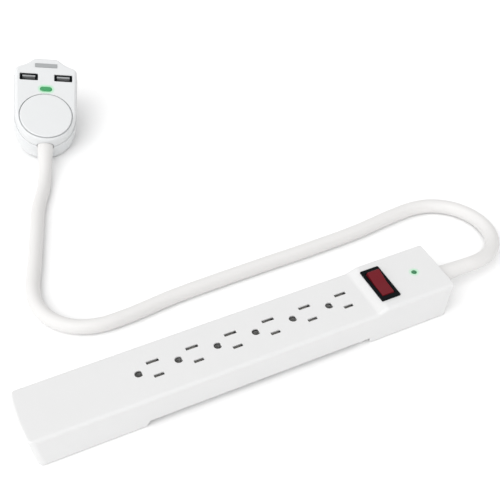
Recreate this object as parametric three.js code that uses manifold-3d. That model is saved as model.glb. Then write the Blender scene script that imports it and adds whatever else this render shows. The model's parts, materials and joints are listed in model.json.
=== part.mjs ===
// A six-outlet power strip with a rocker switch, a status lamp and a short heavy cord that
// ends in a wide plug with two charging ports. Millimetres, +Z up. The strip lies along X on
// its own feet, with the origin under its middle; the cord and the plug lie behind it.

import * as THREE from 'three';
import { mergeVertices } from 'three/addons/utils/BufferGeometryUtils.js';
import Module from 'manifold-3d';

const wasm = await Module();
wasm.setup();

// ---------------------------------------------------------------- driving dimensions

const GAP = 0.3;                    // left between pieces that touch

// strip housing
const HALF_LENGTH = 155.6;          // at the top edge, in the middle of each end
const HALF_WIDTH = 23.5;
const TOP_Z = 25.7;                 // outlet face
const RAISED_Z = 28.7;              // switch end
const STEP_START_X = 93.6;          // slope between the two
const STEP_END_X = 101.1;
const FOOT_LIFT = 4.2;              // underside of the middle, above the feet
const LEFT_FOOT_END_X = -79.4;
const LEFT_FOOT_SLOPE = 3;
const RIGHT_FOOT_START_X = 88.1;
const LEFT_END = { draft: 2.6, bow: 1.6, corner: 4.5, top: TOP_Z };
const RIGHT_END = { draft: 4.9, bow: 0, corner: 2.6, top: RAISED_Z };
const EDGE_RADIUS = 2.2;
const WALL = 2.2;
const OUTLET_WALL = 1.2;            // the face is thinner behind each outlet
const COVER_THICKNESS = 2.2;
const PAD = { x: 83.2, y: 16.9, radius: 3.8 };   // round foot pads beside the switch end

// outlets: 125 V, two blades and a round ground pin
const OUTLET_COUNT = 6;
const OUTLET_PITCH = 28.21;
const FIRST_GROUND_X = -73.9;
const BLADE_FROM_GROUND = 11.9;
const BLADE_HALF_SPACING = 6.35;
const NEUTRAL_SLOT_LENGTH = 8.8;
const LIVE_SLOT_LENGTH = 7;
const SLOT_WIDTH = 2.6;
const GROUND_HOLE_RADIUS = 2.9;
const OUTLET_RECESS = [24, 20, 2];   // hollow behind the thinner face

// rocker switch
const SWITCH_X = 107.85;
const SWITCH_Y = 0.25;
const BEZEL_WIDTH = 15;
const BEZEL_LENGTH = 32;
const BEZEL_HEIGHT = 1.2;
const SWITCH_BODY_WIDTH = 12.4;
const SWITCH_BODY_LENGTH = 28.4;
const SWITCH_FLOOR_Z = 10.5;
const ROCKER_WIDTH = 9.4;
const ROCKER_RADIUS = 12;
const ROCKER_PIVOT_Z = 26.5;
const ROCKER_REST_DEG = 9;          // half of the rocker's travel

// status lamp, cord exit and screws
const LAMP_X = 135.9;
const LAMP_RADIUS = 1.9;
const CORD_RADIUS = 5.5;
const CORD_EXIT_Z = 16;
const STRAIN_RELIEF_LENGTH = 22;
const RELIEF_RADIUS = 6.7;          // where a strain relief leaves its housing
const RELIEF_TIP_RADIUS = CORD_RADIUS + 0.25;
const RELIEF_HOLE_RADIUS = 7.1;
const COVER_SCREW_X = [-144, 5.6, 144];
const COVER_SCREW_Y = 16.5;

// plug, in its own frame: X across, Y towards the ports, Z out of the face, back at Z = 0
const PLUG_THICKNESS = 29;
const PLUG_PARTING_Z = 16.9;
const PLUG_CROWN_Y = 61.7;
const PLUG_BOTTOM_Y = -24.5;
const PLUG_HALF_WIDTH = 27;
const PLUG_REAR_MARGIN = 0.8;       // rear shell stands this much outside the front one
const PLUG_WALL = 2.2;
const PLUG_FACE_THICKNESS = 3.4;
const CAP_RADIUS = 22;
const CAP_RING_GAP = 0.6;
const CAP_SEAT_DEPTH = 1.6;
const PORT_X = 14.8;
const PORT_Y = 40.5;
const PORT_OPENING = [15.6, 7.2];
const INDICATOR_Y = 27.8;
const LABEL_Y = 52.9;
const PIN_Y = 21;
const PIN_LENGTH = 18.4;
const PIN_RADIUS = 2.38;
const BLADE_LENGTH = 17;
const BLADE_THICKNESS = 1.5;
const NEUTRAL_BLADE_WIDTH = 7.9;
const LIVE_BLADE_WIDTH = 6.4;
const BLADE_ROOT_Z = 8.5;           // how far the blades and the pin reach into the plug
const PLUG_RELIEF_LENGTH = 20;

// how the plug lies: propped on its ground pin and leaning a little to its right
const PLUG_AZIMUTH_DEG = 20;
const PLUG_TILT_DEG = 20.8;
const PLUG_ROLL_DEG = 12;
const PLUG_POSITION = [-50.7, 308.3, 9.85];

// middle line of the free cord, from the strip's strain relief to the plug's
const CORD_ROUTE = [
  [178, 0, 16], [186.2, 0.1, 15.7], [195.5, 1.6, 14.3], [206.3, 6.2, 12.3], [215.5, 13.4, 10.3],
  [222.2, 22.9, 8.6], [226, 33.9, 7.2], [226.6, 45.5, 6.3], [224.2, 56, 5.8], [218.6, 66.2, 5.6],
  [210.3, 74.4, 5.6], [200, 79.9, 5.6], [187.5, 82.4, 5.6], [167.7, 81.5, 5.6], [134, 77.8, 5.6],
  [97, 76.5, 5.6], [56, 76.3, 5.6], [15, 75.9, 5.6], [-21, 74.8, 5.6], [-56.9, 71.3, 5.6],
  [-76.7, 71.3, 5.6], [-89, 74.5, 5.6], [-99.1, 80.4, 5.6], [-107, 89, 5.6], [-112.2, 99.5, 5.6],
  [-114.4, 112, 5.6], [-113, 126.7, 5.6], [-104.9, 151.3, 5.6], [-93.3, 186.4, 5.6],
  [-83.2, 216.3, 5.6], [-70.7, 243, 5.6], [-69, 247.9, 5.84], [-67.2, 252.7, 6.54],
  [-65.5, 257.4, 7.7], [-63.8, 262.1, 9.32],
];

// ---------------------------------------------------------------- materials

function plastic(color, roughness) {
  return new THREE.MeshStandardMaterial({ color, roughness, metalness: 0 });
}

function metal(color, roughness) {
  return new THREE.MeshStandardMaterial({ color, roughness, metalness: 1 });
}

const WHITE = '#ebebeb';
const PLUG_WHITE = '#ececed';
const CORD_WHITE = '#e9e8e5';
const BLACK = '#0c1214';
const RED = '#80242e';
const GREEN = '#237d4b';
const PALE_GREEN = '#3ea55f';
const GREY = '#a2a5a6';
const BRASS = '#b59a4c';
const NICKEL = '#c4c3bd';
const TIN = '#c9c8c2';
const STEEL = '#9b9da0';
const BOARD_GREEN = '#2d6a45';
const BLUE = '#29589a';
const TAPE_YELLOW = '#c9b04a';

// ---------------------------------------------------------------- solids

function toSolid(geometry) {
  const plain = geometry.clone();
  plain.deleteAttribute('normal');
  plain.deleteAttribute('uv');
  const merged = mergeVertices(plain, 1e-4);
  return new wasm.Manifold(new wasm.Mesh({
    numProp: 3,
    vertProperties: new Float32Array(merged.attributes.position.array),
    triVerts: new Uint32Array(merged.index.array),
  }));
}

function toGeometry(solid) {
  const mesh = solid.getMesh();
  const geometry = new THREE.BufferGeometry();
  geometry.setAttribute('position', new THREE.BufferAttribute(mesh.vertProperties, 3));
  geometry.setIndex(new THREE.BufferAttribute(mesh.triVerts, 1));
  geometry.computeVertexNormals();
  return geometry;
}

function combine(base, others, operation) {
  const solid = others.reduce((result, other) => result[operation](toSolid(other)), toSolid(base));
  return toGeometry(solid);
}

const join = (base, ...others) => combine(base, others, 'add');
const cut = (base, ...others) => combine(base, others, 'subtract');
const common = (base, ...others) => combine(base, others, 'intersect');

function box(size, centre) {
  return new THREE.BoxGeometry(...size).translate(...centre);
}

function cylinder(radius, length, centre, axis = 'z', sides = 20) {
  const geometry = new THREE.CylinderGeometry(radius, radius, length, sides);
  if (axis === 'z') geometry.rotateX(Math.PI / 2);
  if (axis === 'x') geometry.rotateZ(Math.PI / 2);
  return geometry.translate(...centre);
}

// a shape drawn in (a, b), pushed from low to high along the remaining axis
function prism(shape, low, high, plane = 'xy') {
  const geometry = new THREE.ExtrudeGeometry(shape, {
    depth: high - low, bevelEnabled: false, curveSegments: 5,
  });
  geometry.translate(0, 0, plane === 'xz' ? -high : low);
  const bases = {
    xy: [[1, 0, 0], [0, 1, 0], [0, 0, 1]],
    yz: [[0, 1, 0], [0, 0, 1], [1, 0, 0]],
    xz: [[1, 0, 0], [0, 0, 1], [0, -1, 0]],
  };
  const axes = bases[plane].map((axis) => new THREE.Vector3(...axis));
  return geometry.applyMatrix4(new THREE.Matrix4().makeBasis(...axes));
}

function polygon(points) {
  return new THREE.Shape(points.map(([a, b]) => new THREE.Vector2(a, b)));
}

function roundedRectangle(width, height, radius, centreA = 0, centreB = 0) {
  const shape = new THREE.Shape();
  const a = width / 2;
  const b = height / 2;
  const quarter = Math.PI / 2;
  shape.absarc(centreA + a - radius, centreB - b + radius, radius, -quarter, 0);
  shape.absarc(centreA + a - radius, centreB + b - radius, radius, 0, quarter);
  shape.absarc(centreA - a + radius, centreB + b - radius, radius, quarter, 2 * quarter);
  shape.absarc(centreA - a + radius, centreB - b + radius, radius, 2 * quarter, 3 * quarter);
  return shape;
}

// a turned piece: profile of [radius, height] pairs, standing on the axis it is given
function turned(profile, centre, axis = 'z', sides = 24) {
  const points = profile.map(([radius, height]) => new THREE.Vector2(radius, height));
  const geometry = new THREE.LatheGeometry(points, sides);
  if (axis === 'z') geometry.rotateX(Math.PI / 2);
  if (axis === 'x') geometry.rotateZ(-Math.PI / 2);
  return geometry.translate(...centre);
}

function tube(points, radius, steps, sides) {
  const path = new THREE.CatmullRomCurve3(points.map((point) => new THREE.Vector3(...point)));
  const ring = [];
  for (let side = 0; side < sides; side += 1) {
    const angle = (2 * Math.PI * side) / sides;
    ring.push([radius * Math.cos(angle), radius * Math.sin(angle)]);
  }
  return new THREE.ExtrudeGeometry(polygon(ring), { steps, extrudePath: path, curveSegments: 1 });
}

// ---------------------------------------------------------------- assembly

const strip = new THREE.Group();
const plug = new THREE.Group();
strip.add(plug);

function place(name, geometry, material, parent = strip) {
  const mesh = new THREE.Mesh(geometry, material);
  mesh.name = name;
  parent.add(mesh);
  return mesh;
}

// ---------------------------------------------------------------- strip housing

const MIDDLE_RIM_Z = FOOT_LIFT + GAP;
const BEYOND_X = HALF_LENGTH + 10;   // past either end, where the end shapes cut the strip off

function outerSide() {
  return polygon([
    [-BEYOND_X, GAP],
    [LEFT_FOOT_END_X, GAP],
    [LEFT_FOOT_END_X + LEFT_FOOT_SLOPE, MIDDLE_RIM_Z],
    [RIGHT_FOOT_START_X, MIDDLE_RIM_Z],
    [RIGHT_FOOT_START_X, GAP],
    [BEYOND_X, GAP],
    [BEYOND_X, RAISED_Z],
    [STEP_END_X, RAISED_Z],
    [STEP_START_X, TOP_Z],
    [-BEYOND_X, TOP_Z],
  ]);
}

function innerSide() {
  const floor = -1;
  return polygon([
    [-BEYOND_X, floor],
    [BEYOND_X, floor],
    [BEYOND_X, RAISED_Z - WALL],
    [STEP_END_X + WALL / 2, RAISED_Z - WALL],
    [STEP_START_X + WALL / 2, TOP_Z - WALL],
    [-BEYOND_X, TOP_Z - WALL],
  ]);
}

// everything on the strip's side of one end face: round corners, a slight bow, and a lean
function endShape(end, inset = 0) {
  const side = end === LEFT_END ? -1 : 1;
  const wide = HALF_WIDTH - inset;
  const tip = HALF_LENGTH - inset;
  const cornerTip = tip - end.bow;
  const radius = Math.max(end.corner - inset, 1);
  const shape = new THREE.Shape();
  shape.moveTo(-BEYOND_X, wide);
  shape.lineTo(-BEYOND_X, -wide);
  shape.absarc(cornerTip - radius, -wide + radius, radius, -Math.PI / 2, 0);
  shape.quadraticCurveTo(tip + end.bow, 0, cornerTip, wide - radius);
  shape.absarc(cornerTip - radius, wide - radius, radius, 0, Math.PI / 2);
  const points = shape.getPoints(6).map(({ x, y }) => [side * x, y]);
  const lean = new THREE.Matrix4().makeShear(0, 0, 0, 0, (side * end.draft) / end.top, 0);
  const solid = prism(polygon(points), -3, RAISED_Z + 3);
  return solid.applyMatrix4(lean).translate(-side * end.draft, 0, 0);
}

// cross-section of the strip up to a given top, its long upper edges rounded
function section(top) {
  const low = -2;
  const y = HALF_WIDTH - EDGE_RADIUS;
  const z = top - EDGE_RADIUS;
  const shape = new THREE.Shape();
  shape.moveTo(-HALF_WIDTH, low);
  shape.lineTo(HALF_WIDTH, low);
  shape.absarc(y, z, EDGE_RADIUS, 0, Math.PI / 2);
  shape.absarc(-y, z, EDGE_RADIUS, Math.PI / 2, Math.PI);
  return shape;
}

function coverScrewPoints() {
  return COVER_SCREW_X.flatMap((x) => [-COVER_SCREW_Y, COVER_SCREW_Y].map((y) => [x, y]));
}

function coverTopAt(x) {
  const onFoot = x < LEFT_FOOT_END_X || x > RIGHT_FOOT_START_X;
  return (onFoot ? 0 : FOOT_LIFT) + COVER_THICKNESS;
}

function screwBosses() {
  return coverScrewPoints().map(([x, y]) => {
    const top = (x > STEP_END_X ? RAISED_Z : TOP_Z) - WALL / 2;
    const bottom = coverTopAt(x) + GAP;
    return cylinder(3.4, top - bottom, [x, y, (top + bottom) / 2], 'z', 12);
  });
}

function outletCuts() {
  const cuts = [];
  const through = 8;
  const recessZ = TOP_Z - OUTLET_WALL - OUTLET_RECESS[2] / 2;
  for (let index = 0; index < OUTLET_COUNT; index += 1) {
    const groundX = FIRST_GROUND_X + index * OUTLET_PITCH;
    const bladeX = groundX + BLADE_FROM_GROUND;
    cuts.push(
      cylinder(GROUND_HOLE_RADIUS, through, [groundX, 0, TOP_Z], 'z', 16),
      box([NEUTRAL_SLOT_LENGTH, SLOT_WIDTH, through], [bladeX, BLADE_HALF_SPACING, TOP_Z]),
      box([LIVE_SLOT_LENGTH, SLOT_WIDTH, through], [bladeX, -BLADE_HALF_SPACING, TOP_Z]),
      box(OUTLET_RECESS, [groundX + BLADE_FROM_GROUND / 2, 0, recessZ]),
    );
  }
  return cuts;
}

function topHousing() {
  const half = HALF_WIDTH + 5;
  const low = prism(section(TOP_Z), -BEYOND_X, STEP_START_X + 1, 'yz');
  const high = prism(section(RAISED_Z), STEP_START_X, BEYOND_X, 'yz');
  const side = prism(outerSide(), -half, half, 'xz');
  const outer = common(join(low, high), side, endShape(LEFT_END), endShape(RIGHT_END));
  const cavity = common(
    prism(innerSide(), -half, half, 'xz'),
    endShape(LEFT_END, WALL),
    endShape(RIGHT_END, WALL),
  );
  const bossHoles = coverScrewPoints().map(([x, y]) => cylinder(1.5, 14, [x, y, 8], 'z', 12));
  const switchHole = box(
    [SWITCH_BODY_WIDTH + 2 * GAP, SWITCH_BODY_LENGTH + 2 * GAP, 8],
    [SWITCH_X, SWITCH_Y, RAISED_Z],
  );
  const lampHole = cylinder(LAMP_RADIUS + GAP, 8, [LAMP_X, 0, RAISED_Z], 'z', 16);
  const cordHole = cylinder(RELIEF_HOLE_RADIUS, 12, [HALF_LENGTH - 2, 0, CORD_EXIT_Z], 'x', 24);
  const shell = join(cut(outer, cavity), ...screwBosses());
  return cut(shell, ...bossHoles, ...outletCuts(), switchHole, lampHole, cordHole);
}

function bottomCover() {
  const clear = WALL + GAP;
  const slopeEnd = LEFT_FOOT_END_X + LEFT_FOOT_SLOPE;
  const top = COVER_THICKNESS;
  const plate = prism(polygon([
    [-BEYOND_X, 0],
    [LEFT_FOOT_END_X, 0],
    [slopeEnd, FOOT_LIFT],
    [RIGHT_FOOT_START_X, FOOT_LIFT],
    [RIGHT_FOOT_START_X, 0],
    [BEYOND_X, 0],
    [BEYOND_X, top],
    [RIGHT_FOOT_START_X + top, top],
    [RIGHT_FOOT_START_X + top, FOOT_LIFT + top],
    [slopeEnd - LEFT_FOOT_SLOPE / 2, FOOT_LIFT + top],
    [LEFT_FOOT_END_X - LEFT_FOOT_SLOPE / 2, top],
    [-BEYOND_X, top],
  ]), -HALF_WIDTH, HALF_WIDTH, 'xz');
  const holes = coverScrewPoints().flatMap(([x, y]) => {
    const under = coverTopAt(x) - COVER_THICKNESS;
    return [
      cylinder(1.9, 8, [x, y, under + 1], 'z', 12),
      cylinder(3.2, 2, [x, y, under + 0.2], 'z', 16),
    ];
  });
  const pads = [-PAD.y, PAD.y].map((y) => (
    cylinder(PAD.radius, FOOT_LIFT + 1, [PAD.x, y, (FOOT_LIFT + 1) / 2], 'z', 24)
  ));
  const inside = common(plate, endShape(LEFT_END, clear), endShape(RIGHT_END, clear));
  return cut(join(inside, ...pads), ...holes);
}

function addHousing() {
  const white = plastic(WHITE, 0.42);
  place('top_housing', topHousing(), white);
  place('bottom_cover', bottomCover(), white.clone());
  coverScrewPoints().forEach(([x, y], index) => {
    const under = coverTopAt(x) - COVER_THICKNESS;
    const profile = [[0, 0], [2.8, 0], [2.8, 0.8], [1.2, 0.9], [1.2, 9], [0.6, 10.5], [0, 10.5]];
    const screw = turned(profile, [x, y, under + 0.3], 'z', 12);
    place(`cover_screw_${index + 1}`, screw, metal(STEEL, 0.35));
  });
}

// ---------------------------------------------------------------- outlet bus bars

const BUS_Z = 8;
const BUS_THICKNESS = 0.8;
const BUS_WIDTH = 4;
const CONTACT_TOP_Z = 23.2;
const BUS_LEFT_X = FIRST_GROUND_X - 5;
const BUS_RIGHT_X = SWITCH_X - 18.25;
const CONTACT_SPREAD = 1.15;         // each contact leaf from its blade's middle

function busStrip(width, y) {
  const length = BUS_RIGHT_X - BUS_LEFT_X;
  const centre = [(BUS_RIGHT_X + BUS_LEFT_X) / 2, y, BUS_Z + BUS_THICKNESS / 2];
  return box([length, width, BUS_THICKNESS], centre);
}

function bladeBus(y) {
  const leaves = [];
  const height = CONTACT_TOP_Z - BUS_Z;
  for (let index = 0; index < OUTLET_COUNT; index += 1) {
    const x = FIRST_GROUND_X + index * OUTLET_PITCH + BLADE_FROM_GROUND;
    [-CONTACT_SPREAD, CONTACT_SPREAD].forEach((offset) => {
      leaves.push(box([6.4, 0.5, height], [x, y + offset, BUS_Z + height / 2]));
    });
  }
  return join(busStrip(BUS_WIDTH, y), ...leaves);
}

function groundBus() {
  const height = CONTACT_TOP_Z - BUS_Z;
  const sockets = [];
  const bores = [];
  for (let index = 0; index < OUTLET_COUNT; index += 1) {
    const x = FIRST_GROUND_X + index * OUTLET_PITCH;
    const z = BUS_Z + height / 2;
    sockets.push(cylinder(3.2, height, [x, 0, z], 'z', 12));
    bores.push(
      cylinder(2.6, height, [x, 0, z + BUS_THICKNESS], 'z', 12),
      box([4, 0.8, height], [x + 3, 0, z + BUS_THICKNESS]),
    );
  }
  return cut(join(busStrip(BUS_WIDTH, 0), ...sockets), ...bores);
}

function busTray() {
  const low = FOOT_LIFT + COVER_THICKNESS + GAP;
  const high = BUS_Z - GAP;
  const length = BUS_RIGHT_X - BUS_LEFT_X - 12;
  const x = (BUS_RIGHT_X + BUS_LEFT_X) / 2;
  const plate = box([length, 22, high - low], [x, 0, (low + high) / 2]);
  const ribY = 3.75;                  // between the ground sockets and the blade strips
  const ribs = [-ribY, ribY].map((y) => box([length, 0.5, 4.5], [x, y, high + 2]));
  return join(plate, ...ribs);
}

function addBusBars() {
  place('live_bus_bar', bladeBus(-BLADE_HALF_SPACING), metal(TIN, 0.5));
  place('neutral_bus_bar', bladeBus(BLADE_HALF_SPACING), metal(TIN, 0.5));
  place('ground_bus_bar', groundBus(), metal(TIN, 0.5));
  place('bus_bar_tray', busTray(), plastic(WHITE, 0.6));
}

// ---------------------------------------------------------------- rocker switch

const POCKET_LENGTH = 2 * ROCKER_RADIUS + 2 * GAP;
const POCKET_FLOOR_Z = SWITCH_FLOOR_Z + 1.6;
const LOAD_TERMINAL_Y = 8.5;         // from the rocker's pivot
const LEVER_PIVOT_Z = 16.3;
const REST_ANGLE = THREE.MathUtils.degToRad(ROCKER_REST_DEG);

function switchBody() {
  const body = box(
    [SWITCH_BODY_WIDTH, SWITCH_BODY_LENGTH, RAISED_Z + 0.5 - SWITCH_FLOOR_Z],
    [SWITCH_X, SWITCH_Y, (RAISED_Z + 0.5 + SWITCH_FLOOR_Z) / 2],
  );
  const bezelShape = roundedRectangle(BEZEL_WIDTH, BEZEL_LENGTH, 1, SWITCH_X, SWITCH_Y);
  const bezel = prism(bezelShape, RAISED_Z + 0.05, RAISED_Z + BEZEL_HEIGHT);
  const pocket = box(
    [ROCKER_WIDTH + 2 * GAP, POCKET_LENGTH, 30],
    [SWITCH_X, SWITCH_Y, POCKET_FLOOR_Z + 15],
  );
  const pivotHole = cylinder(1.3, 11.4, [SWITCH_X, SWITCH_Y, ROCKER_PIVOT_Z], 'x', 16);
  const tabSlots = [0, LOAD_TERMINAL_Y].map((y) => (
    box([1.4, 5.6, 8], [SWITCH_X, SWITCH_Y + y, SWITCH_FLOOR_Z])
  ));
  return cut(join(body, bezel), pocket, pivotHole, ...tabSlots);
}

// the rocker about its own pivot, level; Y and Z from the pivot
function rockerProfile() {
  const topAngle = THREE.MathUtils.degToRad(25.5);
  const bottomAngle = THREE.MathUtils.degToRad(-16);
  const creaseHeight = 3.9;
  const shape = new THREE.Shape();
  shape.moveTo(0, creaseHeight);
  shape.absarc(0, 0, ROCKER_RADIUS, Math.PI - topAngle, Math.PI - bottomAngle);
  shape.absarc(0, 0, ROCKER_RADIUS, bottomAngle, topAngle);
  return shape;
}

function rocker() {
  const half = ROCKER_WIDTH / 2;
  const body = prism(rockerProfile(), -half, half, 'yz');
  const pins = cylinder(0.95, ROCKER_WIDTH + 1.6, [0, 0, 0], 'x', 12);
  const springBore = cylinder(1.9, 6.6, [0, 0, -5], 'z', 16);
  return cut(join(body, pins), springBore);
}

function rockerSpring() {
  const turns = 4;
  const stepsPerTurn = 8;
  const radius = 1.2;
  const low = -4.6;
  const length = 2.4;
  const points = [];
  for (let step = 0; step <= turns * stepsPerTurn; step += 1) {
    const angle = (2 * Math.PI * step) / stepsPerTurn;
    const height = low + (length * step) / (turns * stepsPerTurn);
    points.push([radius * Math.cos(angle), radius * Math.sin(angle), height]);
  }
  return tube(points, 0.25, turns * 10, 6);
}

function rockerPlunger() {
  const profile = [[0, -9.5], [0.9, -9.1], [1.5, -8], [1.5, -5.2], [0, -5.2]];
  return turned(profile, [0, 0, 0], 'z', 12);
}

function contactLever() {
  const blade = box([4, 15, 0.7], [0, 0, 0]);
  const button = cylinder(1.3, 1.2, [0, 6.2, -0.6], 'z', 12);
  return join(blade, button);
}

function fulcrumTerminal() {
  const tab = box([0.8, 4.8, 12], [0, 0, LEVER_PIVOT_Z - 7]);
  return tab.translate(SWITCH_X, SWITCH_Y, 0);
}

function loadTerminal() {
  const tab = box([0.8, 4.8, 8.6], [0, LOAD_TERMINAL_Y, 9.1]);
  const head = box([4, 4.8, 0.8], [0, LOAD_TERMINAL_Y, POCKET_FLOOR_Z + 1.3]);
  return join(tab, head).translate(SWITCH_X, SWITCH_Y, 0);
}

function addSwitch() {
  const steel = metal(STEEL, 0.4);
  const brass = metal(BRASS, 0.35);
  place('switch_body', switchBody(), plastic(BLACK, 0.38));
  const tilted = new THREE.Group();
  tilted.position.set(SWITCH_X, SWITCH_Y, ROCKER_PIVOT_Z);
  tilted.rotation.x = REST_ANGLE;
  strip.add(tilted);
  place('rocker', rocker(), plastic(RED, 0.3), tilted);
  place('rocker_spring', rockerSpring(), steel, tilted);
  place('rocker_plunger', rockerPlunger(), brass, tilted);
  const lever = new THREE.Group();
  lever.position.set(SWITCH_X, SWITCH_Y, LEVER_PIVOT_Z);
  lever.rotation.x = -REST_ANGLE;
  strip.add(lever);
  place('contact_lever', contactLever(), brass.clone(), lever);
  place('switch_line_terminal', fulcrumTerminal(), brass.clone());
  place('switch_load_terminal', loadTerminal(), brass.clone());
}

// ---------------------------------------------------------------- lamp, surge board, cord end

const BOARD_SIZE = [22, 38, 1.6];
const BOARD_Z = 3.4;
const BOARD_TOP_Z = BOARD_Z + BOARD_SIZE[2];
const BOARD_X = SWITCH_X + 20.25;
const ROW_X = [BOARD_X - 5.5, BOARD_X + 5.3];    // two rows of parts on the board
const ROW_Y = 14;
const VARISTOR_RADIUS = 4.8;
const JACKET_START_X = SWITCH_X + 10.5;
const RELIEF_DEPTH = 9.5;            // of the strain relief's flange inside the end wall

function statusLamp() {
  const bezelRadius = LAMP_RADIUS + 0.6;
  const profile = [
    [0, 22.3], [bezelRadius, 22.3], [bezelRadius, 26], [LAMP_RADIUS, 26.1],
    [LAMP_RADIUS, 28.3], [LAMP_RADIUS - 0.4, 28.9], [0, 29.1],
  ];
  return turned(profile, [LAMP_X, 0, 0], 'z', 16);
}

function varistor(x, y) {
  return cylinder(VARISTOR_RADIUS, 4, [x, y, BOARD_TOP_Z + GAP + VARISTOR_RADIUS], 'y', 20);
}

function thermalFuse() {
  return cylinder(1.9, 9, [ROW_X[1], ROW_Y, BOARD_TOP_Z + 2.2], 'x', 12);
}

function jacketEnd() {
  const end = HALF_LENGTH - RELIEF_DEPTH - GAP;
  const centre = [(JACKET_START_X + end) / 2, 0, CORD_EXIT_Z];
  return cylinder(CORD_RADIUS, end - JACKET_START_X, centre, 'x', 16);
}

// flange, neck and tapering sleeve; heights are measured outwards from the housing
function reliefProfile(flangeRadius, flangeStart, flangeEnd, length) {
  return [
    [0, flangeStart], [flangeRadius, flangeStart], [flangeRadius, flangeEnd],
    [RELIEF_RADIUS, flangeEnd], [RELIEF_RADIUS, 1], [RELIEF_TIP_RADIUS, length], [0, length],
  ];
}

function stripRelief() {
  const profile = reliefProfile(9, -RELIEF_DEPTH, -RELIEF_DEPTH + 3, STRAIN_RELIEF_LENGTH);
  return turned(profile, [HALF_LENGTH, 0, CORD_EXIT_Z], 'x', 24);
}

function addElectrics() {
  const blue = plastic(BLUE, 0.35);
  const rubber = plastic(CORD_WHITE, 0.55);
  const boardCentre = [BOARD_X, 0, BOARD_Z + BOARD_SIZE[2] / 2];
  place('status_lamp', statusLamp(), plastic(GREEN, 0.2));
  place('surge_board', box(BOARD_SIZE, boardCentre), plastic(BOARD_GREEN, 0.5));
  place('varistor_1', varistor(ROW_X[0], -ROW_Y), blue);
  place('varistor_2', varistor(ROW_X[1], -ROW_Y), blue.clone());
  place('varistor_3', varistor(ROW_X[0], ROW_Y), blue.clone());
  place('thermal_fuse', thermalFuse(), metal(NICKEL, 0.3));
  place('cord_jacket_end', jacketEnd(), rubber);
  place('strip_strain_relief', stripRelief(), rubber.clone());
}

// each lead's middle line, with X measured from the switch
const LEADS = {
  live_lead: [
    [9.4, 0, 17.5], [8.3, 0, 15.5], [8, 0, 12], [7, 0, 8.2], [4.3, 0.2, 6.4], [1.2, 0.25, 6.2],
  ],
  neutral_lead: [
    [9.4, 2.6, 14.6], [8.3, 4.5, 13.6], [8, 10, 10], [6.8, 15, 8], [1.8, 18, 7.8],
    [-6.2, 17, 8.6], [-14.2, 10, 10.2], [-17.4, 6.6, 10.4],
  ],
  ground_lead: [
    [9.4, -2.6, 14.6], [8.3, -4.5, 13.6], [8, -10, 10], [6.8, -15, 8], [1.8, -18, 8],
    [-7.2, -17.5, 11], [-13.2, -7, 13.5], [-17.3, -0.8, 12.5],
  ],
  switched_lead: [
    [-1.6, 8.7, 6.3], [-6.2, 6.5, 6.2], [-10.7, -0.5, 6.6], [-14.2, -5.8, 9], [-17.4, -6.4, 10.2],
  ],
};

function addLeads() {
  const colours = [BLACK, WHITE, GREEN, BLACK];
  Object.entries(LEADS).forEach(([name, points], index) => {
    const lead = tube(points, 1.2, 14, 8).translate(SWITCH_X, 0, 0);
    place(name, lead, plastic(colours[index], 0.5));
  });
}

// ---------------------------------------------------------------- cord

function addCord() {
  place('cord', tube(CORD_ROUTE, CORD_RADIUS, 36, 12), plastic(CORD_WHITE, 0.55));
}

// ---------------------------------------------------------------- plug

const PLUG_FACE_Z = PLUG_THICKNESS;
const PLUG_MIDDLE_Y = (PLUG_CROWN_Y + PLUG_BOTTOM_Y) / 2;

// outline seen from the front: low crown, sloping shoulders, near-straight sides, round foot
function plugOutline(grow = 0) {
  const shape = new THREE.Shape();
  const wide = PLUG_HALF_WIDTH;
  shape.moveTo(0, PLUG_BOTTOM_Y);
  shape.bezierCurveTo(14, PLUG_BOTTOM_Y, wide - 1.2, -12, wide - 0.8, 8);
  shape.lineTo(wide, 48.5);
  shape.quadraticCurveTo(wide, 51.4, wide - 3, 52.5);
  shape.quadraticCurveTo(16, 55.6, 12.4, 59.6);
  shape.quadraticCurveTo(10.4, PLUG_CROWN_Y, 7.5, PLUG_CROWN_Y);
  shape.lineTo(-7.5, PLUG_CROWN_Y);
  shape.quadraticCurveTo(-10.4, PLUG_CROWN_Y, -12.4, 59.6);
  shape.quadraticCurveTo(-16, 55.6, -wide + 3, 52.5);
  shape.quadraticCurveTo(-wide, 51.4, -wide, 48.5);
  shape.lineTo(-wide + 0.8, 8);
  shape.bezierCurveTo(-wide + 1.2, -12, -14, PLUG_BOTTOM_Y, 0, PLUG_BOTTOM_Y);
  const scaleX = 1 + grow / PLUG_HALF_WIDTH;
  const scaleY = 1 + grow / (PLUG_CROWN_Y - PLUG_MIDDLE_Y);
  const points = shape.getPoints(6).slice(0, -1);
  const stretch = ({ x, y }) => [x * scaleX, PLUG_MIDDLE_Y + (y - PLUG_MIDDLE_Y) * scaleY];
  return polygon(points.map(stretch));
}

function softPrism(outline, low, high, bevel) {
  const geometry = new THREE.ExtrudeGeometry(outline, {
    depth: high - low - 2 * bevel,
    bevelThickness: bevel,
    bevelSize: bevel,
    bevelOffset: -bevel,
    bevelSegments: 3,
    curveSegments: 1,
  });
  return geometry.translate(0, 0, low + bevel);
}

// thin arcs through the wall beside the parting line, low on each side
function gripSlots() {
  const inside = 23.6;
  const outside = 31;
  const up = 0.3;
  const down = 0.44;
  return [[-down, up], [Math.PI - up, Math.PI + down]].map(([start, end]) => {
    const shape = new THREE.Shape();
    shape.absarc(0, 0, outside, start, end);
    shape.absarc(0, 0, inside, end, start, true);
    return prism(shape, PLUG_PARTING_Z - 1, PLUG_PARTING_Z + 2);
  });
}

const PLUG_SCREWS = [[-21, 26], [21, 26], [-17.5, -9], [17.5, -9]];

function plugReliefHole() {
  return cylinder(RELIEF_HOLE_RADIUS, 16, [0, PLUG_BOTTOM_Y, PLUG_PARTING_Z], 'y', 24);
}

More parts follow.
